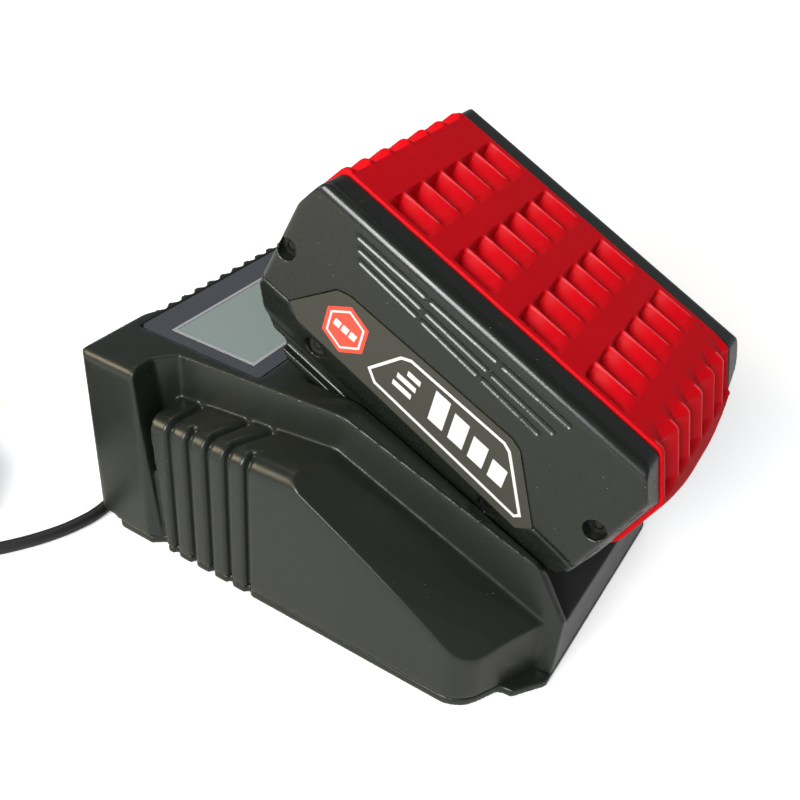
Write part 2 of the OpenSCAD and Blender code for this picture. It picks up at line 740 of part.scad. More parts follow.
module mains_plug() {
    body = rounded([[-plug_len / 2, -plug_w / 2, 4], [plug_len / 2 - 12, -plug_w / 2, 6],
        [plug_len / 2, -5, 2], [plug_len / 2, 5, 2], [plug_len / 2 - 12, plug_w / 2, 6],
        [-plug_len / 2, plug_w / 2, 4]]);
    color([0.04, 0.04, 0.04]) translate(plug_at) mirror([1, 0, 0]) difference() {
        union() {
            linear_extrude(height = plug_h) polygon(body);
            translate([plug_len / 2 - 1, 0, plug_h / 2]) rotate([0, 90, 0])
                cylinder(r = 4, h = plug_tail + 1, $fn = 32);
        }
        for (s = [-1, 1]) translate([-plug_len / 2 - 1, s * pin_gap / 2, plug_h / 2]) rotate([0, 90, 0])
            cylinder(r = pin_r + 0.05, h = 9, $fn = 32);
    }
}

module plug_pins() {
    color(steel) translate(plug_at) for (s = [-1, 1])
        translate([plug_len / 2 - 7.9, s * pin_gap / 2, plug_h / 2]) rotate([0, 90, 0])
            cylinder(r = pin_r, h = pin_len + 7.9, $fn = 32);
}

// ---- battery pack

function pack_side_outline(inset) = rounded([[end_y - inset, seam_z], [end_y - inset, 41],
    [end_y - slope_len - inset / 2, side_top - inset, 3], [nose_y + 9 + inset / 2, side_top - inset, 3],
    [nose_y + inset, side_top - 11, 3], [nose_y + inset, seam_z]]);

// The seam between side shell and rail cover, from the nose to the terminal end
function seam_line() = [[nose_y - 2, seam_z - 2], [-42.6, seam_z - 1], [-39.3, seam_z - 5.2],
    [40.7, seam_z - 3], [45, seam_z], [end_y + 2, seam_z]];

function label_outline(inset) = [[-42.6 + inset, seam_z - 1 + inset / 2],
    [-39.3 + inset / 2, seam_z - 5.2 + inset], [40.7 - inset / 2, seam_z - 3 + inset],
    [45 - inset, seam_z + inset / 2], [35 - inset / 2, 35.8 - inset],
    [31, 37.2 - inset], [-23, 38.4 - inset], [-26.6 + inset / 2, 37.2 - inset]];

// The pack's outer form from the rail face to the top
module pack_form() {
    section = rounded(both([[0, -1], [-neck_w / 2, -1], [-neck_w / 2, flare_z],
        [-half_pack + flare_in, flare_z + 3.2, 2], [-half_pack + 0.2, seam_z], [-half_pack, 41],
        [-half_pack, side_top, 3.2],
        [-half_pack + 3.4, side_top]]));
    plan = rounded(both([[-half_pack + 9.1, nose_y], [-half_pack, nose_y + 3, 3], [-half_pack, end_y - 2.4, 3],
        [-half_pack + 9.1, end_y]]));
    side = rounded([[end_y, seam_z + 2, 10], [end_y - 6, body_floor - 0.5, 8], [end_y - 19, 0, 4],
        [nose_y + 17, 0, 6], [nose_y + 5, body_floor + 0.5, 8], [nose_y, seam_z], [nose_y, side_top - 11, 3],
        [nose_y + 9, side_top, 3], [end_y - slope_len, side_top, 3], [end_y, 41]]);
    intersection() {
        along_y(far) polygon(section);
        linear_extrude(height = far) polygon(plan);
        along_x(far) polygon(side);
    }
}

module pack_bosses(z, places, r, from, to) {
    for (y = places) translate([0, y, z]) tube_x(r, from, to);
}

// Three rows of three grooves that fan out towards the nose: rear end [y, z], front end [y, z]
groove_rows = [[[37.7, 53.8], [-31.6, 53.7]], [[35.9, 51], [-29.8, 48.9]], [[34.1, 48.3], [-27.2, 45.6]]];

module side_grooves() {
    for (row = groove_rows, part = [0:2]) {
        step = (row[1] - row[0]) / 3;
        from = row[0] + part * step + (part == 0 ? 0 : 0.6) * unit(step);
        to = row[0] + (part + 1) * step;
        translate([-half_pack - 1, 0, 0]) along_x(1.6, from = eps)
            polygon([from, to, [to.x, to.y - 1.3], [from.x, from.y - 1.3]]);
    }
}

// Left side shell: a dish that closes the pack's side
module pack_side() {
    color(pack_black) in_pack() difference() {
        union() {
            intersection() {
                difference() {
                    pack_form();
                    along_x(half_pack - pack_wall, from = -half_pack + pack_wall)
                        polygon(pack_side_outline(pack_wall));
                    translate([-half_pack + pack_wall, -48, 0]) cube([far, 96, seam_z + eps]);
                }
                along_x(half_pack - band_w / 2, from = -half_pack)
                    polygon(concat(seam_line(), [[end_y + 2, far], [nose_y - 2, far]]));
            }
            intersection() {
                pack_form();
                pack_bosses(boss_z, boss_y, 4.6, -half_pack, -band_w / 2);
            }
        }
        pack_bosses(boss_z, boss_y, head_r + 0.1, -far / 2, -half_pack + 5.4);
        pack_bosses(boss_z, boss_y, screw_r + 0.2, -far / 2, 0);
        translate([-half_pack - 1, 0, 0]) along_x(label_d + 1, from = eps) polygon(label_outline(0));
        side_grooves();
    }
}

module pack_side_left() {
    pack_side();
}

module pack_side_right() {
    mirror([1, 0, 0]) pack_side();
}

module label_plate() {
    color([0.2, 0.2, 0.18]) in_pack() translate([-half_pack + label_d - label_t, 0, 0])
        along_x(label_t, from = eps) polygon(label_outline(fit));
}

module label_left() {
    label_plate();
}

module label_right() {
    mirror([1, 0, 0]) label_plate();
}

function band_outline(proud) = rounded([[end_y + proud, seam_z], [end_y + proud, 41],
    [end_y - slope_len + proud / 2, side_top + proud, 2.4], [nose_y + 9 - proud / 2, side_top + proud, 2.4],
    [nose_y - proud, side_top - 11, 3], [nose_y - proud, seam_z]]);

// Pocket before a grip rib: a steep wall, a flat floor, then a face that rises to the rib.
// That face is wide at the pocket's front end and narrow at its rear end.
module rib_pocket() {
    skew = atan((rib_floor[1] - rib_floor[0]) / rib_len);
    rise = atan(rib_depth / (rib_gap - rib_floor[0]) / cos(skew));
    intersection() {
        along_x(rib_gap - rib_crest, from = rib_crest / 2) polygon([[0, 1], [rib_len, 1], [rib_len, 0],
            [rib_len - rib_end, -rib_depth], [rib_ramp, -rib_depth], [0, 0]]);
        translate([rib_floor[0], 0, -rib_depth]) rotate([0, 0, -skew]) rotate([0, -rise, 0])
            translate([-far / 2, -far / 2, 0]) cube([far, far, far]);
    }
}

module grip_pockets() {
    intersection() {
        for (row = [0:rib_rows - 1], k = [0:rib_n - 1])
            translate([rib_first + (k - 1) * rib_gap, rib_rear - rib_len - row * rib_pitch, 0])
                translate([0, 0, side_top + band_proud]) rib_pocket();
        cube([band_w - 3, far, far], center = true);
    }
}

module front_fins() {
    for (x = fin_x) translate([x, 0, 0]) along_x(fin_w)
        polygon([[nose_y + 9.4, side_top - 1], [nose_y + 9, side_top + 0.9], [nose_y + 7.6, side_top + 1],
            [nose_y - 1.7, button_top + 1.6], [nose_y - 1.2, button_top + 0.5], [nose_y + 1, button_top + 0.5]]);
}

module rear_fins() {
    for (k = [0:rib_n - 1]) translate([rib_first + k * rib_gap, 0, 0]) along_x(fin_w)
        polygon([[end_y - slope_len - 1, side_top], [end_y - slope_len - 0.4, side_top + 1.6],
            [end_y - slope_len + 2, side_top], [end_y + 1.2, 43], [end_y, 40]]);
}

module grip_band() {
    half = band_w / 2 - 0.05;
    color(pack_red) in_pack() difference() {
        union() {
            difference() {
                along_x(2 * half) polygon(band_outline(band_proud));
                along_x(far) polygon(band_outline(-rib_depth - 1.5));
                grip_pockets();
                translate([-far / 2, nose_y - 5, 0]) cube([far, 12, button_top + 0.5]);
            }
            front_fins();
            rear_fins();
            both_sides() {
                pack_bosses(boss_z, [boss_y[0]], 4.6, -half, -half + 10);
                translate([-half, end_y - 4.2, boss_z - 4]) cube([10, 4, 8]);
                intersection() {
                    union() {
                        pack_bosses(boss_z, [boss_y[1]], band_boss_r, -half, -half + 5);
                        translate([-half, boss_y[1] - band_boss_r, boss_z]) cube([2.6, 2 * band_boss_r, 16]);
                    }
                    along_x(far) polygon(band_outline(-2));
                }
            }
        }
        both_sides() pack_bosses(boss_z, boss_y, screw_r + 0.05, -far / 2, -half + 9);
        translate([-far / 2, -far / 2, -far + seam_z]) cube([far, far, far]);
    }
}

module rail_cover() {
    inner = rounded([[end_y - pack_wall, far / 2], [end_y - pack_wall, seam_z + 4, 4],
        [end_y - 9, body_floor, 2], [nose_y + 8.5, body_floor, 2],
        [nose_y + pack_wall + 0.2, seam_z, 2], [nose_y + pack_wall + 0.2, far / 2]]);
    color(pack_black) in_pack() difference() {
        union() {
            intersection() {
                difference() {
                    pack_form();
                    intersection() {
                        along_x(pack_w - 5.6) polygon(inner);
                        along_y(far) polygon(both([[-half_pack + 5, body_floor - 1],
                            [-half_pack + pack_wall + 0.4, seam_z - 4],
                            [-half_pack + pack_wall + 0.4, far / 2]]));
                    }
                }
                union() {
                    along_x(far) polygon(concat([for (p = seam_line()) [p.x, p.y - 0.12]],
                        [[end_y + 2, -far / 2], [nose_y - 2, -far / 2]]));
                    translate([-band_w / 2 + 1, nose_y - 1, 0]) cube([band_w - 2, 6, button_low - 0.5]);
                }
            }
            intersection() {
                pack_form();
                both_sides() pack_bosses(low_boss_z, low_boss_y, 4.4, -half_pack, -half_pack + 12);
                along_x(far) polygon(concat([for (p = seam_line()) [p.x, p.y - 0.12]],
                    [[end_y + 2, -far / 2], [nose_y - 2, -far / 2]]));
            }
            both_sides() for (y = [-44, 44]) translate([-31, y - 2, body_floor - 1])
                cube([5, 4, cell_low - cell_d / 2 - body_floor + 0.4]);
            both_sides() for (y = [-24, 2, 30]) translate([-22, y, body_floor - 1]) cube([4, 4, 3.1]);
        }
        both_sides() {
            translate([-neck_w / 2 - 1, -far / 2, 2.5]) cube([3.2, far, 3.2]);
            pack_bosses(low_boss_z, low_boss_y, head_r + 0.1, -far / 2, -half_pack + 6.6);
            pack_bosses(low_boss_z, low_boss_y, screw_r + 0.05, -far / 2, -half_pack + 11);
        }
        translate([-14.6, blade_y - 9, -1]) cube([29.2, far, 8.6]);
        translate([-6.3, -39.9, -1]) cube([12.6, 5.8, 20]);
    }
}

module pack_screws() {
    color(steel) in_pack() both_sides() {
        for (y = boss_y) translate([0, y, boss_z]) {
            tube_x(head_r, -half_pack + 3.2, -half_pack + 5.3);
            tube_x(screw_r, -half_pack + 5.2, -half_pack + 16.5);
        }
        for (y = low_boss_y) translate([0, y, low_boss_z]) {
            tube_x(head_r, -half_pack + 4.4, -half_pack + 6.5);
            tube_x(screw_r, -half_pack + 6.4, -half_pack + 10.8);
        }
    }
}

function cell_place(i, j) = [(i - 2) * cell_pitch, cell_low + j * cell_pitch];

module battery_cells() {
    color([0.75, 0.15, 0.4]) in_pack() for (i = [0:4], j = [0:1])
        translate([0, cell_place(i, j).x, cell_place(i, j).y]) tube_x(cell_d / 2, -cell_len / 2, cell_len / 2);
}

module cell_holders() {
    low = cell_low - cell_d / 2 - 0.2;
    color([0.12, 0.12, 0.12]) in_pack() both_sides() difference() {
        along_x(holder_t, from = -cell_len / 2 + 2) polygon(rounded([[-2.5 * cell_pitch - 0.8, low, 4],
            [2.5 * cell_pitch + 0.8, low, 4], [2.5 * cell_pitch + 0.8, low + 2 * cell_pitch + 0.3, 4],
            [-2.5 * cell_pitch - 0.8, low + 2 * cell_pitch + 0.3, 4]]));
        for (i = [0:4], j = [0:1]) translate([0, cell_place(i, j).x, cell_place(i, j).y])
            tube_x(cell_d / 2 + 0.1, -far / 2, far / 2);
    }
}

module cell_straps() {
    color([0.8, 0.8, 0.75]) in_pack() both_sides() for (i = [0:4])
        translate([-cell_len / 2 - 0.35, cell_place(i, 0).x - 4, cell_low - 5]) cube([0.3, 8, cell_pitch + 10]);
}

module pack_board() {
    color([0.08, 0.35, 0.16]) in_pack() {
        translate([-24, -26, body_floor + 2.2]) cube([48, 66, 1.5]);
        translate([-8, -18, body_floor + 3.6]) cube([10, 12, 1.4]);
        translate([6, 4, body_floor + 3.6]) cube([8, 8, 1.4]);
    }
}

module pack_terminals() {
    color([0.1, 0.1, 0.1]) in_pack() difference() {
        translate([-14.3, blade_y - 8.8, 0.9]) cube([28.6, 17, 6.6]);
        for (x = blade_x) translate([x - 0.9, blade_y - blade_len / 2 - 0.8, -1]) cube([1.8, 30, 7.6]);
    }
}

// The button's face: a lip that swells towards the middle, with a long fall below it
module release_button() {
    half = band_w / 2 - 0.5;
    face = rounded([[button_back, button_low], [nose_y - 0.3, button_low, 1],
        [nose_y - button_lip + 1, 36, 8], [nose_y - button_lip, button_peak, 2], [nose_y - 0.6, button_top, 0.6],
        [button_back, button_top]]);
    plan = concat([[-half, button_back], [half, button_back]], [for (i = [12:-1:-12]) let (t = i / 12)
        [half * t, nose_y - 1.2 - (button_lip - 1.2) * (1 - pow(t, 2))]]);
    arm_y = nose_y + pack_wall + 2.6;
    arm = [[button_back - eps, button_peak - 3], [arm_y + 2.2, button_peak - 3], [arm_y + 2.2, 20.5],
        [arm_y + 6.4, body_floor + 3.3], [-46.1, body_floor + 3.3], [-43.1, body_floor + 0.3],
        [arm_y + 5.6, body_floor + 0.3], [arm_y, 19], [arm_y, button_low + 2],
        [button_back - eps, button_low + 2]];
    color(pack_red) in_pack() {
        intersection() {
            along_x(2 * half) polygon(face);
            linear_extrude(height = far) polygon(plan);
        }
        along_x(10) polygon(arm);
    }
}

module latch() {
    color(pack_black) in_pack() {
        along_x(12) polygon([[-39.5, 0.1], [-34.5, 0.1], [-34.5, body_floor + 0.4], [-39.5, body_floor + 0.4]]);
        along_x(12) polygon([[-42.8, body_floor + 0.3], [-33, body_floor + 0.3], [-33, body_floor + 3.4],
            [-46.5, body_floor + 4.6], [-46.5, body_floor + 4]]);
    }
}

base_shell();
top_cover();
display_panel();
display_frame();
display_window();
display_module();
display_ribbon();
main_board();
transformer();
bulk_capacitors();
line_choke();
fuse();
heat_sink();
power_transistors();
contact_block();
contact_blades();
contact_leads();
inlet_leads();
housing_screws();
rubber_feet();
strain_relief();
power_cord();
cord_coil();
coil_tie();
mains_plug();
plug_pins();
pack_side_left();
pack_side_right();
grip_band();
rail_cover();
label_left();
label_right();
pack_screws();
battery_cells();
cell_holders();
cell_straps();
pack_board();
pack_terminals();
release_button();
latch();
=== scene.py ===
import math

import bmesh
import bpy
import numpy as np
from mathutils import Matrix, Vector


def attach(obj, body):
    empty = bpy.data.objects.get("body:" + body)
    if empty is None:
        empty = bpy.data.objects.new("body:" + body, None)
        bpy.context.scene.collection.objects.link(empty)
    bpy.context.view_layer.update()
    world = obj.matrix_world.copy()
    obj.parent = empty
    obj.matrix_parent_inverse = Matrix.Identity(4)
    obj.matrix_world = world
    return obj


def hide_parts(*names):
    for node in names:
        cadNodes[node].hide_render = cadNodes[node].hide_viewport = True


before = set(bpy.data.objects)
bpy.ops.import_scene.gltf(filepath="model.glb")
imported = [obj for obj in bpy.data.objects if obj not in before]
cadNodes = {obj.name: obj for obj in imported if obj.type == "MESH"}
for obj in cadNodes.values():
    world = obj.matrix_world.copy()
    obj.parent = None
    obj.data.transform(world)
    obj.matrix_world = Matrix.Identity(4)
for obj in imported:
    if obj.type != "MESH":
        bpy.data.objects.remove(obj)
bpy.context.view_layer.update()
print("frame loaded:", len(cadNodes), "nodes")

mm = 0.001  # sizes are written in millimetres and made metres here


# camera

view = {
    "position": (-215.6, -108.4, 218.0),
    "forward": (0.716, 0.392, -0.578),
    "up": (0.46, 0.358, 0.812),
    "lens": 42.75,
    "sensor": 36.0,
    "nearest": 5.0,
}


def makeCamera(v):
    forward = Vector(v["forward"]).normalized()
    right = forward.cross(Vector(v["up"])).normalized()
    up = right.cross(forward)
    data = bpy.data.cameras.new("camera")
    data.lens = v["lens"]
    data.sensor_width = v["sensor"]
    data.clip_start = v["nearest"] * mm
    camera = bpy.data.objects.new("camera", data)
    turn = Matrix((right, up, -forward)).transposed().to_4x4()
    camera.matrix_world = Matrix.Translation(Vector(v["position"]) * mm) @ turn
    bpy.context.scene.collection.objects.link(camera)
    bpy.context.scene.camera = camera


makeCamera(view)


# mains lead: laid from the housing to the coil, and up from the coil to the plug

cordShape = {
    "diameter": 4.2,
    "slack": 0.035,           # the curve swings out this far between its points
    "exit": (36.0, 102.8, 12.0),
    "lead": [(36, 102.8, 12), (36, 105.7, 11.7), (34.8, 111.2, 10.6), (31, 117.3, 8.8), (24.5, 121.5, 6.4),
             (16.5, 122.5, 4.2), (9.5, 120.5, 2.9), (0, 115.5, 2.2), (-10, 110.2, 2.1), (-21, 104.3, 2.1),
             (-32, 98.3, 2.1), (-41, 92.7, 2.1), (-48, 87.7, 2.1), (-55, 84.1, 2.1), (-63, 83.1, 2.1),
             (-71, 84.4, 2.1), (-79, 87.3, 2.1), (-87, 91.6, 2.1), (-95, 97.1, 2.1), (-103.5, 103.5, 2.1),
             (-112, 109.8, 2.1)],
    "coilCentre": (-103.2, 140.1),
    "coilStart": 235.2,       # angle at which the lead joins and leaves the coil
    "slots": [(29.5, 2.1), (25.2, 2.1), (20.9, 2.1), (20.9, 6.4), (25.2, 6.4), (29.5, 6.4),
              (29.5, 10.7), (25.2, 10.7), (20.9, 10.7)],      # radius and height of each strand
    "steps": [270, 630, 900, 1170, 1530, 1800, 2070, 2430],   # where the lead starts to move to the next
    "stepLength": 90,
    "turnDegrees": 2880,
    "pointEvery": 15,
    "tail": [(-121, 127.7, 11.4), (-125, 133.5, 12.7), (-126.6, 140.1, 14.4), (-126.1, 145.7, 15.8),
             (-123.6, 151, 17.1), (-119.5, 155.2, 18.5), (-114.2, 157.7, 19.6), (-109.8, 158.3, 19.9)],
    "roundness": 4,           # more makes the lead's section rounder
    "fineness": 5,            # steps between two points of its route
}


def coilPoints(c):
    points = []
    for angle in range(0, c["turnDegrees"] + 1, c["pointEvery"]):
        radius, height = c["slots"][0]
        for start, before, after in zip(c["steps"], c["slots"], c["slots"][1:]):
            t = min(1, max(0, (angle - start) / c["stepLength"]))
            t = t * t * (3 - 2 * t)
            radius += t * (after[0] - before[0])
            height += t * (after[1] - before[1])
        turned = math.radians(c["coilStart"] - angle)
        x = c["coilCentre"][0] + radius * math.cos(turned)
        y = c["coilCentre"][1] + radius * math.sin(turned)
        points.append((x, y, height))
    return points


def makeCord(c):
    route = c["lead"] + coilPoints(c) + c["tail"]
    curve = bpy.data.curves.new("mains_lead", "CURVE")
    curve.dimensions = "3D"
    curve.bevel_depth = (c["diameter"] / 2 - c["slack"]) * mm
    curve.bevel_resolution = c["roundness"]
    curve.resolution_u = c["fineness"]
    curve.use_fill_caps = True
    spline = curve.splines.new("BEZIER")
    spline.bezier_points.add(len(route) - 1)
    for point, place in zip(spline.bezier_points, route):
        point.co = Vector(place) * mm
        point.handle_left_type = point.handle_right_type = "AUTO"
    cord = bpy.data.objects.new("mains_lead", curve)
    bpy.context.scene.collection.objects.link(cord)
    return cord


mainsLead = makeCord(cordShape)
print("camera and mains lead placed")


# helpers for node trees

def feed(tree, socket, value):
    # another node's output is linked to the socket, any other value is set on it
    if isinstance(value, bpy.types.NodeSocket):
        tree.links.new(value, socket)
    else:
        socket.default_value = value


def addNode(tree, kind, **settings):
    # settings are the node's own or go to its inputs, where _ stands for a space in the input's name
    node = tree.nodes.new(kind)
    for key, value in settings.items():
        if hasattr(node, key):
            setattr(node, key, value)
        else:
            feed(tree, node.inputs[key.replace("_", " ")], value)
    return node


def mathNode(tree, operation, a, b=None, clamp=False):
    node = addNode(tree, "ShaderNodeMath", operation=operation, use_clamp=clamp)
    feed(tree, node.inputs[0], a)
    if b is not None:
        feed(tree, node.inputs[1], b)
    return node.outputs[0]


def blendColors(tree, factor, a, b):
    mix = addNode(tree, "ShaderNodeMix", data_type="RGBA")
    for socket, value in ((mix.inputs["Factor"], factor), (mix.inputs[6], a), (mix.inputs[7], b)):
        feed(tree, socket, value)
    return mix.outputs[2]


# shader groups that the finishes share

grainLook = {
    "scale": 2200.0,
    "drift": 45.0,            # scale of the slow changes of tone
    "glossDrift": 3.3,        # the gloss changes this many times finer than the tone
    "fine": (2.0, 0.6),       # detail and roughness of the three noises
    "slow": (3.0, 0.55),
    "gloss": (4.0, 0.7),
    "speckle": 0.5,           # share of the fine grain in the tone
}

# the patch values break up a pale painted highlight along marked lines; the dust values give real specks of
# dust
highlightAndDustLook = {
    "patchScale": 160.0,
    "patchDetail": 5.0,
    "patchRoughness": 0.75,
    "patchGain": 1.6,
    "dustScale": 420.0,
    "dustSize": 0.055,
    "filmScale": 70.0,
    "filmDetail": 3.0,
    "filmLimit": 0.55,        # dust lies where the film is thicker than this
    "dustColor": (0.5, 0.49, 0.46, 1),
    "dustRoughness": 0.3,
}


def groupTree(name, inputs, outputs):
    tree = bpy.data.node_groups.new(name, "ShaderNodeTree")
    for label, value in inputs.items():
        socket = tree.interface.new_socket(label, in_out="INPUT", socket_type="NodeSocketFloat")
        socket.default_value = value
    for label in outputs:
        tree.interface.new_socket(label, in_out="OUTPUT", socket_type="NodeSocketFloat")
    return tree, tree.nodes.new("NodeGroupInput").outputs, tree.nodes.new("NodeGroupOutput").inputs


def noise(tree, place, scale, detail, roughness=0.5):
    texture = addNode(tree, "ShaderNodeTexNoise", Vector=place, Scale=scale, Detail=detail,
                      Roughness=roughness)
    return texture.outputs["Fac"]


def makeGrainGroup(g):
    # fine spark-eroded grain of moulded plastic, with slow changes of tone and gloss
    tree, entry, result = groupTree("mouldedGrain", {"Scale": g["scale"], "Drift": g["drift"]},
                                    ["Height", "Tone", "Gloss"])
    place = addNode(tree, "ShaderNodeTexCoord").outputs["Object"]
    glossScale = mathNode(tree, "MULTIPLY", entry["Drift"], g["glossDrift"])
    fine = noise(tree, place, entry["Scale"], *g["fine"])
    slow = noise(tree, place, entry["Drift"], *g["slow"])
    speckle = mathNode(tree, "MULTIPLY", mathNode(tree, "SUBTRACT", fine, 0.5), g["speckle"])
    feed(tree, result["Height"], fine)
    feed(tree, result["Tone"], mathNode(tree, "ADD", slow, speckle, clamp=True))
    feed(tree, result["Gloss"], noise(tree, place, glossScale, *g["gloss"]))
    return tree


def makeHighlightAndDustGroup(w):
    # a pale painted highlight along the lines that the piece's own edge attribute marks, broken into patches,
    # and a few fine specks of dust
    tree, entry, result = groupTree("paintedHighlightAndDust", {"Amount": 0.5, "Dust": 0.3}, ["Rubbed", "Dusty"])
    place = addNode(tree, "ShaderNodeTexCoord").outputs["Object"]
    edge = addNode(tree, "ShaderNodeAttribute", attribute_name="edge", attribute_type="GEOMETRY")
    patches = noise(tree, place, w["patchScale"], w["patchDetail"], w["patchRoughness"])
    specks = addNode(tree, "ShaderNodeTexVoronoi", Vector=place, Scale=w["dustScale"])
    film = noise(tree, place, w["filmScale"], w["filmDetail"])
    patchy = mathNode(tree, "MULTIPLY", patches, w["patchGain"], clamp=True)
    # painted highlight: the marked lines, broken into patches
    paintedHighlight = mathNode(tree, "MULTIPLY", edge.outputs["Fac"], patchy)
    dots = mathNode(tree, "LESS_THAN", specks.outputs["Distance"], w["dustSize"])
    thick = mathNode(tree, "GREATER_THAN", film, w["filmLimit"])
    dusty = mathNode(tree, "MULTIPLY", dots, thick)
    feed(tree, result["Rubbed"], mathNode(tree, "MULTIPLY", paintedHighlight, entry["Amount"], clamp=True))
    feed(tree, result["Dusty"], mathNode(tree, "MULTIPLY", dusty, entry["Dust"], clamp=True))
    return tree


grainGroup = makeGrainGroup(grainLook)
highlightAndDustGroup = makeHighlightAndDustGroup(highlightAndDustLook)


# finishes

def moulded(name, color, roughness=0.42, grain=grainLook["scale"], depth=0.02, drift=grainLook["drift"],
            tone=0.1, spread=0.08, paintedHighlight=0.0, paintedHighlightColor=(0.2, 0.2, 0.2), dust=0.0, metallic=0.0, **shader):
    # depth of the grain in mm; tone and spread are how far colour and roughness wander
    material = bpy.data.materials.new(name)
    material.use_nodes = True
    tree = material.node_tree
    surface = tree.nodes["Principled BSDF"]
    surface.inputs["Metallic"].default_value = metallic
    for label, value in shader.items():
        surface.inputs[label.replace("_", " ")].default_value = value
    texture = addNode(tree, "ShaderNodeGroup", node_tree=grainGroup, Scale=grain, Drift=drift).outputs
    dark = tuple(c * (1 - tone) for c in color) + (1,)
    pale = tuple(min(1, c * (1 + tone)) for c in color) + (1,)
    shade = blendColors(tree, texture["Tone"], dark, pale)
    rough = mathNode(tree, "MULTIPLY", texture["Gloss"], 2 * spread)
    rough = mathNode(tree, "ADD", rough, roughness - spread)
    # a pale painted highlight along the lines of the piece's edge attribute, and specks of dust
    if paintedHighlight or dust:
        highlightAndDust = addNode(tree, "ShaderNodeGroup", node_tree=highlightAndDustGroup, Amount=paintedHighlight, Dust=dust).outputs
        shade = blendColors(tree, highlightAndDust["Rubbed"], shade, paintedHighlightColor + (1,))
        shade = blendColors(tree, highlightAndDust["Dusty"], shade, highlightAndDustLook["dustColor"])
        dustRough = mathNode(tree, "MULTIPLY", highlightAndDust["Dusty"], highlightAndDustLook["dustRoughness"])
        rough = mathNode(tree, "ADD", rough, dustRough, clamp=True)
    bump = addNode(tree, "ShaderNodeBump", Strength=1.0, Distance=depth * mm, Height=texture["Height"])
    feed(tree, surface.inputs["Base Color"], shade)
    feed(tree, surface.inputs["Roughness"], rough)
    feed(tree, surface.inputs["Normal"], bump.outputs["Normal"])
    return material


finish = {
    "housing": moulded("housing_black", (0.0135, 0.0165, 0.0125), 0.32, depth=0.01, dust=0.4,
                       Specular_IOR_Level=0.42),
    "packShell": moulded("pack_black", (0.008, 0.0105, 0.0075), 0.27, grain=2600.0, depth=0.011, dust=0.3),
    # the red's rib and fin crests get a pale painted highlight
    "packRed": moulded("pack_red", (0.58, 0.001, 0.006), 0.5, grain=2600.0, depth=0.012, paintedHighlight=1.0,
                       paintedHighlightColor=(0.8, 0.07, 0.08), Specular_IOR_Level=0.1),
    "label": moulded("label_plate", (0.032, 0.032, 0.023), 0.35, depth=0.004),
    "labelWhite": moulded("label_white", (0.62, 0.63, 0.62), 0.4, depth=0.003, tone=0.04),
    "labelRed": moulded("label_red", (0.75, 0.06, 0.03), 0.35, depth=0.003, tone=0.06),
    "panel": moulded("panel_slate", (0.055, 0.06, 0.072), 0.33, depth=0.004, dust=0.5),
    "border": moulded("screen_border", (0.38, 0.38, 0.41), 0.35, depth=0.003, tone=0.04),
    "glass": moulded("screen_glass", (0.26, 0.32, 0.31), 0.1, depth=0.005, drift=20.0, tone=0.05,
                     spread=0.03, Coat_Weight=0.6),
    "cord": moulded("lead_black", (0.012, 0.012, 0.012), 0.42, grain=1500.0, dust=0.3),
    "rubber": moulded("rubber_black", (0.016, 0.016, 0.016), 0.55, grain=1800.0),
    "steel": moulded("plated_steel", (0.56, 0.55, 0.53), 0.3, metallic=1.0, depth=0.004, tone=0.08),
    # screw heads: near-black as painted shade of the deep holes they sit in
    "screw": moulded("screw_painted_shade", (0.045, 0.045, 0.045), 0.42, metallic=0.9, depth=0.004),
    "board": moulded("green_laminate", (0.02, 0.16, 0.06), 0.35, grain=900.0, drift=200.0, tone=0.3),
    "ribbon": moulded("ribbon_film", (0.68, 0.68, 0.64), 0.3, depth=0.003),
    "ferrite": moulded("ferrite_grey", (0.07, 0.065, 0.06), 0.6, grain=1200.0, depth=0.04),
    "sleeve": moulded("capacitor_sleeve", (0.02, 0.025, 0.1), 0.25, depth=0.003),
    "copper": moulded("enamelled_copper", (0.65, 0.28, 0.1), 0.3, metallic=1.0, grain=600.0, depth=0.15,
                      tone=0.3),
    "ceramic": moulded("ceramic_white", (0.78, 0.76, 0.7), 0.3, depth=0.003),
    "aluminium": moulded("extruded_aluminium", (0.62, 0.62, 0.63), 0.35, metallic=1.0, depth=0.006),
    "blackPlastic": moulded("moulded_black", (0.02, 0.02, 0.02), 0.45),
    "insulation": moulded("wire_red", (0.4, 0.02, 0.015), 0.35, depth=0.004),
    "cellSleeve": moulded("cell_sleeve", (0.5, 0.04, 0.17), 0.28, depth=0.004),
}
print("finishes made:", len(finish))


# helpers for pieces

def addObject(name, mesh):
    piece = bpy.data.objects.new(name, mesh)
    bpy.context.scene.collection.objects.link(piece)
    return piece


def settle(piece, body, key, stands=()):
    # gives the piece its finish and its body, and hides the nodes that it stands for
    piece.data.materials.clear()
    piece.data.materials.append(finish[key])
    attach(piece, body)
    if stands:
        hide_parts(*stands)
    return piece


def meshFromLists(name, points, faces):
    mesh = bpy.data.meshes.new(name)
    mesh.from_pydata([tuple(p) for p in points], [], [tuple(f) for f in faces])
    mesh.validate()
    mesh.update()
    return mesh


def turnFacesOut(mesh):
    work = bmesh.new()
    work.from_mesh(mesh)
    bmesh.ops.recalc_face_normals(work, faces=work.faces)
    work.to_mesh(mesh)
    work.free()


def baked(piece):
    bpy.context.view_layer.update()
    graph = bpy.context.evaluated_depsgraph_get()
    mesh = bpy.data.meshes.new_from_object(piece.evaluated_get(graph), depsgraph=graph)
    piece.modifiers.clear()
    piece.data = mesh
    return piece


# moulded shells: rebuilt on a fine grid and smoothed, which rounds their edges as a mould does

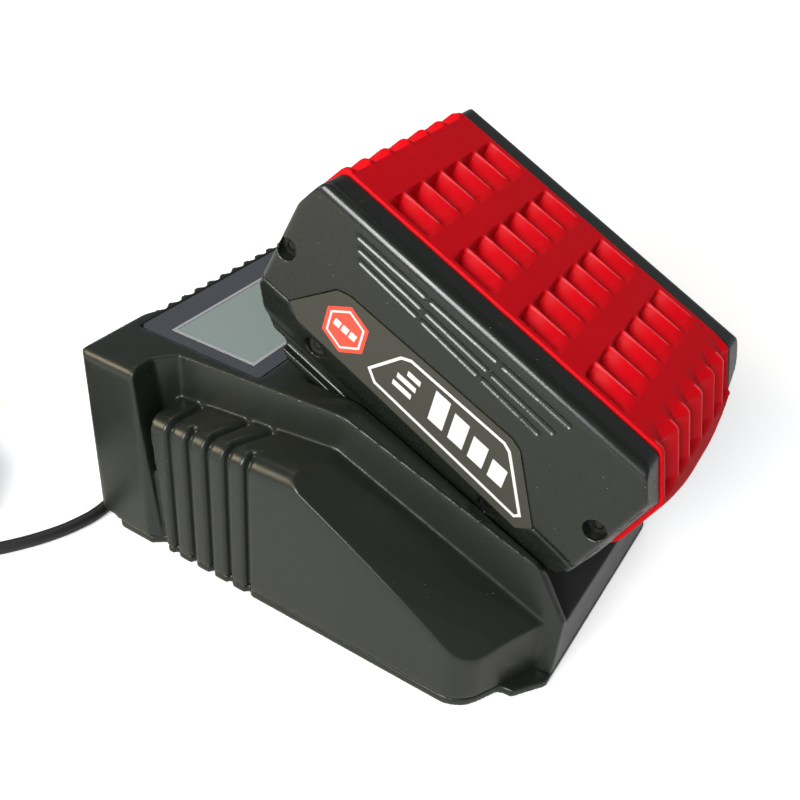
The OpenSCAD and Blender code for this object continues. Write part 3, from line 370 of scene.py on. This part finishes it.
rounding = {
    "merge": 0.002,           # corners closer than this are one
    "factor": 0.5,            # how far each smoothing pass goes
    "shells": [  # node, piece, grid in mm, triangles at most, smoothing passes, body, slot, finish
        ("top_cover", "cover_shell", 0.5, 190000, 4, "charger", "housing", "housing"),
        ("base_shell", "base_tray", 0.6, 90000, 4, "charger", "housing", "housing"),
        ("pack_side_left", "side_shell_left", 0.39, 199000, 2, "battery", "pack_shell", "packShell"),
        ("pack_side_right", "side_shell_right", 0.39, 199000, 2, "battery", "pack_shell", "packShell"),
        ("rail_cover", "rail_shell", 0.5, 110000, 3, "battery", "pack_shell", "packShell"),
        ("release_button", "button_cap", 0.4, 50000, 3, "button", "pack_red", "packRed"),
        ("coil_tie", "coil_band", 0.3, 30000, 3, "charger", "rubber", "rubber"),
        ("mains_plug", "plug_body", 0.4, 60000, 4, "charger", "rubber", "rubber"),
    ],
}


def mergedCopy(node, name):
    work = bmesh.new()
    work.from_mesh(cadNodes[node].data)
    bmesh.ops.remove_doubles(work, verts=work.verts, dist=rounding["merge"] * mm)
    mesh = bpy.data.meshes.new(name)
    work.to_mesh(mesh)
    work.free()
    return addObject(name, mesh)


def softened(node, name, grid, most, passes):
    piece = mergedCopy(node, name)
    remesh = piece.modifiers.new("fineGrid", "REMESH")
    remesh.mode = "VOXEL"
    remesh.voxel_size = grid * mm
    baked(piece)
    count = 2 * len(piece.data.polygons)
    if count > most:
        piece.modifiers.new("thinner", "DECIMATE").ratio = most / count
    smoothing = piece.modifiers.new("roundedEdges", "SMOOTH")
    smoothing.factor = rounding["factor"]
    smoothing.iterations = passes
    baked(piece)
    print(name, "fine mesh:", count, "triangles, kept:", len(piece.data.polygons))
    piece.data.shade_smooth()
    return piece


for node, name, grid, most, passes, body, slot, key in rounding["shells"]:
    settle(softened(node, name, grid, most, passes), body, key, [node])


# nodes that are shown as they come, and the finish of each

kept = {
    "display_panel": "panel", "display_frame": "border", "display_window": "glass", "strain_relief": "rubber",
    "rubber_feet": "rubber", "plug_pins": "steel", "label_left": "label", "label_right": "label",
    "latch": "packShell", "display_module": "board", "display_ribbon": "ribbon", "main_board": "board",
    "transformer": "ferrite", "bulk_capacitors": "sleeve", "line_choke": "copper", "fuse": "ceramic",
    "heat_sink": "aluminium", "power_transistors": "blackPlastic", "contact_block": "blackPlastic",
    "contact_blades": "steel", "contact_leads": "insulation", "inlet_leads": "insulation",
    "battery_cells": "cellSleeve", "cell_holders": "blackPlastic", "cell_straps": "steel",
    "pack_board": "board", "pack_terminals": "blackPlastic",
}
for node, key in kept.items():
    slots = cadNodes[node].data.materials
    if len(slots):
        slots[0] = finish[key]
    else:
        slots.append(finish[key])
print("nodes given their finish:", len(kept))


# where the pack lies: x across it, y up the dock's slope, z away from its rail face

packPlace = {
    "tilt": 25.5,
    "frontWall": -67.2,
    "sill": 23.2,             # height of the slope at the front wall
    "run": 67.6,              # from there up the slope to the pack's middle
    "gap": 0.5,               # between the slope and the pack
}
tilt = math.radians(packPlace["tilt"])
packMiddle = (0, packPlace["frontWall"] + packPlace["run"] * math.cos(tilt),
              packPlace["sill"] + packPlace["run"] * math.sin(tilt))
packMatrix = (Matrix.Translation(packMiddle) @ Matrix.Rotation(tilt, 4, "X")
              @ Matrix.Translation((0, 0, packPlace["gap"])))


# grip band: a sheet over the pack whose pockets, ribs and fins follow one rule

gripBand = {
    "half": 29.35,
    "thickness": 2.6,
    "heelFoot": (58.2, 21.3),        # y and z of the outline's corners, from the back over the top
    "heelBend": (58.2, 41.0),
    "heelTop": 51.85,
    "top": 59.1,
    "noseTop": -50.85,
    "noseFoot": (-60.2, 47.75),
    "heelRound": 3.0,
    "topRound": 2.6,
    "edgeRound": 0.45,
    "step": 0.45,             # spacing of the sheet's points along the pack
    "across": 0.22,           # and across it
    "spine": (-40.0, 42.0, 38.0),    # y from, y to and z of a line that the sheet's inner side lies towards
    "sharpAngle": 50,

    "ribFirst": -20.2,
    "ribGap": 9.42,
    "ribs": 6,
    "crest": 0.22,            # half the width of a rib's top
    "topFrom": 58.4,          # the pockets lie above this

    "rows": [24.8, 3.6, -17.6, -38.8],
    "rowLength": 13.8,
    "pocketLeft": -27.8,      # left side of the first pocket
    "pocketDepth": 4.2,
    "pocketRamp": 0.24,       # shares of a row's length: the pocket gets deep up to here
    "pocketEnd": (0.93, 1),   # and closes between these
    "pocketLowest": (0.1, 0.8),      # share of the way across where it is deepest, and how far that wanders
    "pocketDeepens": (0.55, 0.45),   # share of its depth at its start, and what it gains

    "fins": [-28.2, -17.5, -8.6, 1.8, 12.5, 21.3, 31.0],
    "finDepth": 3.4,
    "finFrom": -41.8,         # the gorges between the fins lie in front of this
    "finLead": (9, 0.5),      # they fade out over this length of the top, by this share of the way down
    "finOpens": (-0.45, 0.25),       # shares of the way down the nose
    "finCloses": (0.86, 1.0),
    "finLowest": (0.42, -0.2),       # where a gorge is deepest, and how far that wanders
    "finLowestLimits": (0.15, 0.85),

    "heelFrom": 47.5,         # the gorges of the back lie behind this
    "heelDepth": 2.8,
    "heelLift": 0.4,          # ribs of the back stand out this far
    "heelOpens": (-0.02, 0.12),      # shares of the way down the back
    "heelLead": (50, 0.12),   # past this place they open this much early
    "heelCloses": (0.86, 1.0),
    "heelLowest": 0.62,
}

crestHighlight = {  # where a pale painted highlight lies along the crests of the band
    "beside": 0.12,           # this far beyond a rib's top
    "besideFin": 0.2,
    "begins": (0.1, 0.2),     # shares of a row's length
    "ends": (0.9, 1),
    "sides": (3, 1),          # distance kept from the first pocket's side and past the last rib
    "noseFrom": -48,
    "noseAbove": 48.5,
}


def smooth(low, high, value):
    t = np.clip((value - low) / (high - low), 0, 1)
    return t * t * (3 - 2 * t)


def roundCorner(before, here, after, radius, step):
    # points on the arc that rounds the corner at here
    a = (before - here).normalized()
    b = (after - here).normalized()
    half = a.angle(b) / 2
    centre = here + (a + b).normalized() * radius / math.sin(half)
    start = here + a * radius / math.tan(half) - centre
    end = here + b * radius / math.tan(half) - centre
    turn = start.angle_signed(end)
    count = max(3, int(abs(turn) * radius / step))
    return [centre + Matrix.Rotation(-turn * k / count, 2) @ start for k in range(count + 1)]


def bandPath(g):
    # points along the band's outline, about a step apart
    corners = [Vector(g["heelFoot"]), Vector(g["heelBend"]), Vector((g["heelTop"], g["top"])),
               Vector((g["noseTop"], g["top"])), Vector(g["noseFoot"])]
    path = [corners[0]]
    for k, radius in enumerate((g["heelRound"], g["topRound"], g["topRound"])):
        path += roundCorner(*corners[k:k + 3], radius, g["step"])
    path.append(corners[-1])
    fine = [path[0]]
    for a, b in zip(path, path[1:]):
        count = max(1, round((b - a).length / g["step"]))
        fine += [a.lerp(b, k / count) for k in range(1, count + 1)]
    return np.array(fine)


def sawtooth(x, crests, halfCrest, left):
    # which pocket each x lies in, and how far across it
    beyond = crests[-1] + 50  # stands for the crest that the last pocket doesn't have
    pocket = np.searchsorted(crests, x, side="left")
    before = np.concatenate([[left - halfCrest], crests])[pocket]
    after = np.concatenate([crests, [beyond]])[pocket]
    return pocket, (x - before - halfCrest) / (after - before - 2 * halfCrest)


def valley(across, lowest):
    # a V between two crests whose lowest line stands at the given share of the way across
    shape = np.minimum(across / lowest, (1 - across) / (1 - lowest))
    return np.clip(shape, 0, 1)


def ribCrests(g):
    return g["ribFirst"] + g["ribGap"] * np.arange(g["ribs"])


def bandHeight(g, x, y, z):
    # how far the sheet stands out from its outline at each point
    pocket, across = sawtooth(x, ribCrests(g), g["crest"], g["pocketLeft"])
    known = pocket < g["ribs"]
    height = np.zeros_like(x + y)
    for row in g["rows"]:
        along = (y - row) / g["rowLength"]
        inside = np.clip(along, 0, 1)
        ends = np.clip(along / g["pocketRamp"], 0, 1) * (1 - smooth(*g["pocketEnd"], along))
        lowest = g["pocketLowest"][0] + g["pocketLowest"][1] * inside
        depth = g["pocketDepth"] * (g["pocketDeepens"][0] + g["pocketDeepens"][1] * inside)
        height -= depth * ends * valley(across, lowest) * known * (z > g["topFrom"])

    early = g["finLead"][1] * np.clip((y - g["noseTop"]) / g["finLead"][0], 0, 1)
    down = (g["top"] - z) / (g["top"] - g["noseFoot"][1]) - early
    fins = np.array(g["fins"])
    gorge, acrossGorge = sawtooth(x, fins, g["crest"], fins[0] - g["ribGap"])
    between = (gorge > 0) & (gorge < len(fins))
    deep = smooth(*g["finOpens"], down) * (1 - smooth(*g["finCloses"], down))
    lowest = np.clip(g["finLowest"][0] + g["finLowest"][1] * down, *g["finLowestLimits"])
    height -= (y < g["finFrom"]) * between * deep * g["finDepth"] * valley(acrossGorge, lowest)

    back = (g["top"] - z) / (g["top"] - g["heelBend"][1])
    opened = smooth(*g["heelOpens"], back + g["heelLead"][1] * (y > g["heelLead"][0]))
    onHeel = (y > g["heelFrom"]) * opened * (1 - smooth(*g["heelCloses"], back))
    height += onHeel * known * (g["heelLift"] - g["heelDepth"] * valley(across, g["heelLowest"]))

    inward = np.clip((np.abs(x) - g["half"] + g["edgeRound"]) / g["edgeRound"], 0, 1)
    return height - g["edgeRound"] * (1 - np.sqrt(np.maximum(0, 1 - inward ** 2)))


def crestMask(g, r, x, y, z):
    # 1 along the tops of the ribs and fins, where a pale painted highlight is laid
    crests = ribCrests(g)
    halfGap = g["ribGap"] / 2
    onRib = np.abs((x - g["ribFirst"] + halfGap) % g["ribGap"] - halfGap) < g["crest"] + r["beside"]
    onFin = np.min([np.abs(x - fin) for fin in g["fins"]], axis=0) < g["crest"] + r["besideFin"]
    known = (x > g["pocketLeft"] + r["sides"][0]) & (x < crests[-1] + r["sides"][1])
    inRow = 0
    for row in g["rows"]:
        along = (y - row) / g["rowLength"]
        inRow = inRow + smooth(*r["begins"], along) * (1 - smooth(*r["ends"], along))
    top = onRib * inRow * known * (z > g["topFrom"])
    nose = onFin * (y < r["noseFrom"]) * (z > r["noseAbove"])
    return np.clip(top + nose, 0, 1)


def makeGripBand(g):
    path = bandPath(g)
    along = np.gradient(path, axis=0)
    along /= np.linalg.norm(along, axis=1)[:, None]
    outward = np.stack([along[:, 1], -along[:, 0]], axis=1)
    columns = np.linspace(-g["half"], g["half"], int(2 * g["half"] / g["across"]))
    rows, count = len(path), len(columns)
    x = np.broadcast_to(columns, (rows, count))
    height = bandHeight(g, x, path[:, :1], path[:, 1:])
    y = path[:, :1] + outward[:, :1] * height
    z = path[:, 1:] + outward[:, 1:] * height
    points = [tuple(p) for p in np.stack([x, y, z], axis=2).reshape(-1, 3)]
    faces = [(r * count + c, r * count + c + 1, (r + 1) * count + c + 1, (r + 1) * count + c)
             for r in range(rows - 1) for c in range(count - 1)]

    # inner side, two points a row, and the four narrow sides
    spine = np.stack([np.clip(path[:, 0], *g["spine"][:2]), np.full(rows, g["spine"][2])], axis=1)
    reach = np.linalg.norm(spine - path, axis=1)[:, None]
    inner = path + (spine - path) * (g["thickness"] + g["finDepth"]) / reach
    low = len(points)
    for r in range(rows):
        points += [(-g["half"], *inner[r]), (g["half"], *inner[r])]
    for r in range(rows - 1):
        a, b = low + 2 * r, low + 2 * r + 2
        faces += [(a, b, b + 1, a + 1), (r * count, (r + 1) * count, b, a),
                  ((r + 1) * count - 1, a + 1, b + 1, (r + 2) * count - 1)]
    faces.append([*range(count), low + 1, low])
    last = low + 2 * rows - 1
    faces.append([*range(rows * count - 1, (rows - 1) * count - 1, -1), last - 1, last])

    mesh = meshFromLists("grip_sheet", [packMatrix @ Vector(p) * mm for p in points], faces)
    # the crest mask goes into the edge attribute, which the red finish turns into a pale painted highlight
    crest = np.zeros(len(points), np.float32)
    crest[:rows * count] = crestMask(g, crestHighlight, x, path[:, :1], path[:, 1:]).reshape(-1)
    mesh.attributes.new("edge", "FLOAT", "POINT").data.foreach_set("value", crest)
    turnFacesOut(mesh)
    mesh.shade_smooth()
    mesh.set_sharp_from_angle(angle=math.radians(g["sharpAngle"]))
    return addObject("grip_sheet", mesh)


gripSheet = settle(makeGripBand(gripBand), "battery", "packRed", ["grip_band"])
print("grip band:", len(gripSheet.data.polygons), "faces")


# label graphics: thin raised prints on the plates, laid out along the pack and above its rail face

labelPrint = {
    "surface": 38.3,          # of the plates, from the pack's middle
    "sink": 0.05,
    "thickness": 0.07,
    "line": 0.85,             # width of the frame's line
    "frame": [(-38.3, 20.6), (-37.0, 18.7), (13.5, 20.2), (17.2, 23.0), (11.6, 33.6), (8.8, 35.2),
              (-22.4, 35.9), (-25.0, 34.8)],
    "bars": [  # left end, foot, width and height of each
        (-29.5, 23.4, 5.0, 5.6), (-22.5, 23.6, 5.0, 6.8), (-15.5, 23.8, 5.0, 8.0), (-8.5, 24.0, 5.0, 9.2),
        (3.0, 24.6, 6.4, 1.5), (3.0, 27.4, 6.4, 1.5), (3.0, 30.2, 4.4, 1.5)],
    "slant": 0.28,
    "badge": (27.6, 27.3),
    "badgeSize": 7.6,
    "badgeSides": 6,
    "badgeTurn": 0.3,
    "ringInset": (1.3, 2.0),
    "dotSize": 1.5,
    "dotPlaces": (-2.7, 0, 2.7),
    "whiteOnRed": 0.03,       # white stands out this far over the red
}


def offsetInwards(points, distance):
    inner = []
    for i, here in enumerate(points):
        a = (Vector(here) - Vector(points[i - 1])).normalized()
        b = (Vector(points[(i + 1) % len(points)]) - Vector(here)).normalized()
        side = Vector((-a.y, a.x)) + Vector((-b.y, b.x))
        inner.append(tuple(Vector(here) + side * (2 * distance / side.length_squared)))
    return inner


def regularLoop(centre, radius, sides, turn):
    angles = [turn + math.tau * i / sides for i in range(sides)]
    return [(centre[0] + radius * math.cos(angle), centre[1] + radius * math.sin(angle)) for angle in angles]


def addPrism(points, faces, loop, low, high, hole=None):
    # a flat shape between two distances from the pack's middle, with a hole if there is one
    start, count = len(points), len(loop)
    rings = [(loop, high), (hole, high), (hole, low), (loop, low)] if hole else [(loop, high), (loop, low)]
    for ring, x in rings:
        points += [(x, y, z) for y, z in ring]
    for k in range(len(rings) if hole else 1):
        here, there = start + k * count, start + ((k + 1) % len(rings)) * count
        for i in range(count):
            after = (i + 1) % count
            faces.append((here + i, here + after, there + after, there + i))
    if not hole:
        faces.append(tuple(range(start, start + count)))
        faces.append(tuple(range(start + 2 * count - 1, start + count - 1, -1)))


def addPrint(name, shapes, side, key):
    # shapes are an outer loop, a hole or None, and how far it stands out over the other prints
    points, faces = [], []
    low, top = labelPrint["surface"] - labelPrint["sink"], labelPrint["surface"] + labelPrint["thickness"]
    for loop, hole, lift in shapes:
        addPrism(points, faces, loop, side * low, side * (top + lift), hole)
    mesh = meshFromLists(name, [packMatrix @ Vector(p) * mm for p in points], faces)
    turnFacesOut(mesh)
    settle(addObject(name, mesh), "battery", key)


def slantedBar(left, foot, width, tall, slant):
    lean, right, top = tall * slant, left + width, foot + tall
    return [(left, foot), (right, foot), (right + lean, top), (left + lean, top)]


def makePrints(c):
    badge, size, lift = c["badge"], c["badgeSize"], c["whiteOnRed"]
    ring = [regularLoop(badge, size - inset, c["badgeSides"], c["badgeTurn"]) for inset in c["ringInset"]]
    white = [(c["frame"], offsetInwards(c["frame"], c["line"]), 0)]
    white += [(slantedBar(*bar, c["slant"]), None, 0) for bar in c["bars"]]
    white.append((*ring, lift))
    for shift in c["dotPlaces"]:
        white.append((regularLoop((badge[0] + shift, badge[1]), c["dotSize"], 4, math.pi / 4), None, lift))
    red = [(regularLoop(badge, size, c["badgeSides"], c["badgeTurn"]), None, 0)]
    for side, label in ((-1, "left"), (1, "right")):
        addPrint(f"print_white_{label}", white, side, "labelWhite")
        addPrint(f"print_red_{label}", red, side, "labelRed")


makePrints(labelPrint)
print("label prints laid")


# screws: one tree places every head and shank on points that carry their direction and length

screws = {
    "headRadius": 3.0,
    "headHeight": 2.1,
    "headSides": 32,
    "shankRadius": 1.5,
    "shankSides": 24,
    "socketRadius": 1.25,
    "socketDepth": 1.3,
    "packHalf": 38.5,         # from the pack's middle to its side
    "pack": [  # along the pack, above its rail face, head below the side, shank length
        (52.4, 34.0, 3.2, 11.2), (-53.0, 34.0, 3.2, 11.2), (33.0, 12.4, 4.4, 4.3), (-30.4, 12.4, 4.4, 4.3)],
    "base": [(44.5, -42.2), (52.5, 67.7)],
    "baseBottom": 1.6,
    "baseShank": 12.8,
}


def treeCylinder(tree, sides, radius, depth, lift):
    # a cylinder along z whose middle is lifted by the given height
    body = addNode(tree, "GeometryNodeMeshCylinder", Vertices=sides, Radius=radius, Depth=depth)
    up = addNode(tree, "ShaderNodeCombineXYZ", Z=lift)
    move = addNode(tree, "GeometryNodeTransform", Geometry=body.outputs["Mesh"], Translation=up.outputs[0])
    return move.outputs["Geometry"]


def namedAttribute(tree, name, kind):
    node = addNode(tree, "GeometryNodeInputNamedAttribute", data_type=kind, Name=name)
    return node.outputs["Attribute"]


def makeScrewTree(c):
    tree = bpy.data.node_groups.new("screwsOnPoints", "GeometryNodeTree")
    tree.interface.new_socket("Geometry", in_out="INPUT", socket_type="NodeSocketGeometry")
    sizes = {"Head radius": "headRadius", "Head height": "headHeight", "Shank radius": "shankRadius",
             "Socket radius": "socketRadius", "Socket depth": "socketDepth"}
    for label, key in sizes.items():
        socket = tree.interface.new_socket(label, in_out="INPUT", socket_type="NodeSocketFloat")
        socket.default_value = c[key] * mm
    tree.interface.new_socket("Material", in_out="INPUT", socket_type="NodeSocketMaterial")
    tree.interface.new_socket("Geometry", in_out="OUTPUT", socket_type="NodeSocketGeometry")
    entry = tree.nodes.new("NodeGroupInput").outputs
    result = tree.nodes.new("NodeGroupOutput").inputs

    # a head with a hexagon socket, its top at the point, and a shank one metre long that each point shortens
    height = entry["Head height"]
    middle = mathNode(tree, "MULTIPLY", height, -0.5)
    head = treeCylinder(tree, c["headSides"], entry["Head radius"], height, middle)
    twice = mathNode(tree, "MULTIPLY", entry["Socket depth"], 2.0)
    socket = treeCylinder(tree, 6, entry["Socket radius"], twice, 0.0)
    cut = addNode(tree, "GeometryNodeMeshBoolean", operation="DIFFERENCE", Mesh_1=head, Mesh_2=socket)
    shank = treeCylinder(tree, c["shankSides"], entry["Shank radius"], 1.0, -0.5)

    aim = namedAttribute(tree, "aim", "FLOAT_VECTOR")
    turn = addNode(tree, "FunctionNodeAlignRotationToVector", axis="Z", Vector=aim).outputs["Rotation"]
    scale = addNode(tree, "ShaderNodeCombineXYZ", X=1.0, Y=1.0, Z=namedAttribute(tree, "reach", "FLOAT"))
    heads = addNode(tree, "GeometryNodeInstanceOnPoints", Points=entry["Geometry"], Rotation=turn,
                    Instance=cut.outputs["Mesh"])
    shanks = addNode(tree, "GeometryNodeInstanceOnPoints", Points=entry["Geometry"], Rotation=turn,
                     Instance=shank, Scale=scale.outputs[0])
    join = addNode(tree, "GeometryNodeJoinGeometry")
    for part in (heads, shanks):
        feed(tree, join.inputs["Geometry"], part.outputs["Instances"])
    real = addNode(tree, "GeometryNodeRealizeInstances", Geometry=join.outputs["Geometry"])
    paint = addNode(tree, "GeometryNodeSetMaterial", Geometry=real.outputs["Geometry"],
                    Material=entry["Material"])
    feed(tree, result["Geometry"], paint.outputs["Geometry"])
    return tree


screwTree = makeScrewTree(screws)


def placeScrews(name, body, node, spots):
    # spots hold place and outward direction of each head's top, and the shank's length, in millimetres
    mesh = meshFromLists(name, [Vector(place) * mm for place, aim, reach in spots], [])
    aims = [v for place, aim, reach in spots for v in aim]
    lengths = [(reach + screws["headHeight"]) * mm for place, aim, reach in spots]
    mesh.attributes.new("aim", "FLOAT_VECTOR", "POINT").data.foreach_set("vector", aims)
    mesh.attributes.new("reach", "FLOAT", "POINT").data.foreach_set("value", lengths)
    piece = addObject(name, mesh)
    modifier = piece.modifiers.new("screws", "NODES")
    modifier.node_group = screwTree
    identifier = next(item.identifier for item in screwTree.interface.items_tree if item.name == "Material")
    modifier[identifier] = finish["screw"]
    baked(piece)
    settle(piece, body, "screw", [node])


def packSpots(c):
    spots = []
    for along, above, below, reach in c["pack"]:
        for side in (-1, 1):
            place = packMatrix @ Vector((side * (c["packHalf"] - below), along, above))
            spots.append((place, (side, 0, 0), reach))
    return spots


def baseSpots(c):
    places = [(side * x, y, c["baseBottom"]) for x, y in c["base"] for side in (-1, 1)]
    return [(place, (0, 0, -1), c["baseShank"]) for place in places]


placeScrews("pack_screw_set", "battery", "pack_screws", packSpots(screws))
placeScrews("base_screw_set", "charger", "housing_screws", baseSpots(screws))
print("screws placed")


# floor, lamps and sky

stage = {
    "half": 3.0,
    "floorColor": (0.86, 0.86, 0.86, 1),
    "floorRoughness": 0.9,
    "lift": (0.25, 0.8, 0.5, 1.2),   # near, far: what the floor gives off there for the camera alone
    "zenith": (0.1, 0.1, 0.1, 1),
    "horizon": (0.42, 0.46, 0.5, 1),
    "skyFade": 0.6,
    "lamps": [  # name, place, aimed at, size, power, colour
        ("leftKey", (-1.0, -0.04, 0.64), (0, 0, 0.05), 0.42, 14, (0.98, 1, 1)),
        ("warmRear", (-0.8, 0.8, 0.6), (0, 0.03, 0.05), 0.4, 6.5, (1, 0.84, 0.58)),
        ("overhead", (0.2, 0.3, 1.2), (0, 0, 0.04), 0.7, 2.0, (1, 1, 1)),
    ],
}


def makeFloor(c):
    half = c["half"]
    corners = [(-half, -half, 0), (half, -half, 0), (half, half, 0), (-half, half, 0)]
    floor = addObject("floor", meshFromLists("floor", corners, [(0, 1, 2, 3)]))
    material = bpy.data.materials.new("floor_white")
    material.use_nodes = True
    tree = material.node_tree
    surface = tree.nodes["Principled BSDF"].inputs
    surface["Base Color"].default_value = c["floorColor"]
    surface["Roughness"].default_value = c["floorRoughness"]
    surface["Emission Color"].default_value = (1, 1, 1, 1)
    place = addNode(tree, "ShaderNodeTexCoord").outputs["Object"]
    away = addNode(tree, "ShaderNodeVectorMath", operation="LENGTH")
    feed(tree, away.inputs[0], place)
    lift = addNode(tree, "ShaderNodeMapRange", interpolation_type="SMOOTHSTEP", Value=away.outputs["Value"])
    for label, value in zip(("From Min", "From Max", "To Min", "To Max"), c["lift"]):
        lift.inputs[label].default_value = value
    seen = addNode(tree, "ShaderNodeLightPath").outputs["Is Camera Ray"]
    feed(tree, surface["Emission Strength"], mathNode(tree, "MULTIPLY", seen, lift.outputs["Result"]))
    floor.data.materials.append(material)


def makeLamp(name, place, aim, size, power, color):
    data = bpy.data.lights.new(name, "AREA")
    data.size = size
    data.energy = power
    data.color = color
    lamp = bpy.data.objects.new(name, data)
    turn = (Vector(aim) - Vector(place)).to_track_quat("-Z", "Y").to_matrix().to_4x4()
    lamp.matrix_world = Matrix.Translation(Vector(place)) @ turn
    bpy.context.scene.collection.objects.link(lamp)


def makeWorld(c):
    # white for the camera, for everything else a dim sky that is paler towards the horizon
    world = bpy.data.worlds.new("studio")
    bpy.context.scene.world = world
    world.use_nodes = True
    tree = world.node_tree
    place = addNode(tree, "ShaderNodeTexCoord").outputs["Generated"]
    split = addNode(tree, "ShaderNodeSeparateXYZ")
    feed(tree, split.inputs[0], place)
    upward = mathNode(tree, "ABSOLUTE", split.outputs["Z"])
    height = mathNode(tree, "POWER", upward, c["skyFade"], clamp=True)
    sky = blendColors(tree, height, c["horizon"], c["zenith"])
    seen = addNode(tree, "ShaderNodeLightPath").outputs["Is Camera Ray"]
    feed(tree, tree.nodes["Background"].inputs["Color"], blendColors(tree, seen, sky, (1, 1, 1, 1)))


makeFloor(stage)
makeWorld(stage)
for lamp in stage["lamps"]:
    makeLamp(*lamp)
bpy.context.scene.view_settings.view_transform = "Standard"
print("floor and light made")


# the lead gets its finish and its body, and the nodes that it stands for are hidden

settle(mainsLead, "charger", "cord", ["power_cord", "cord_coil"])
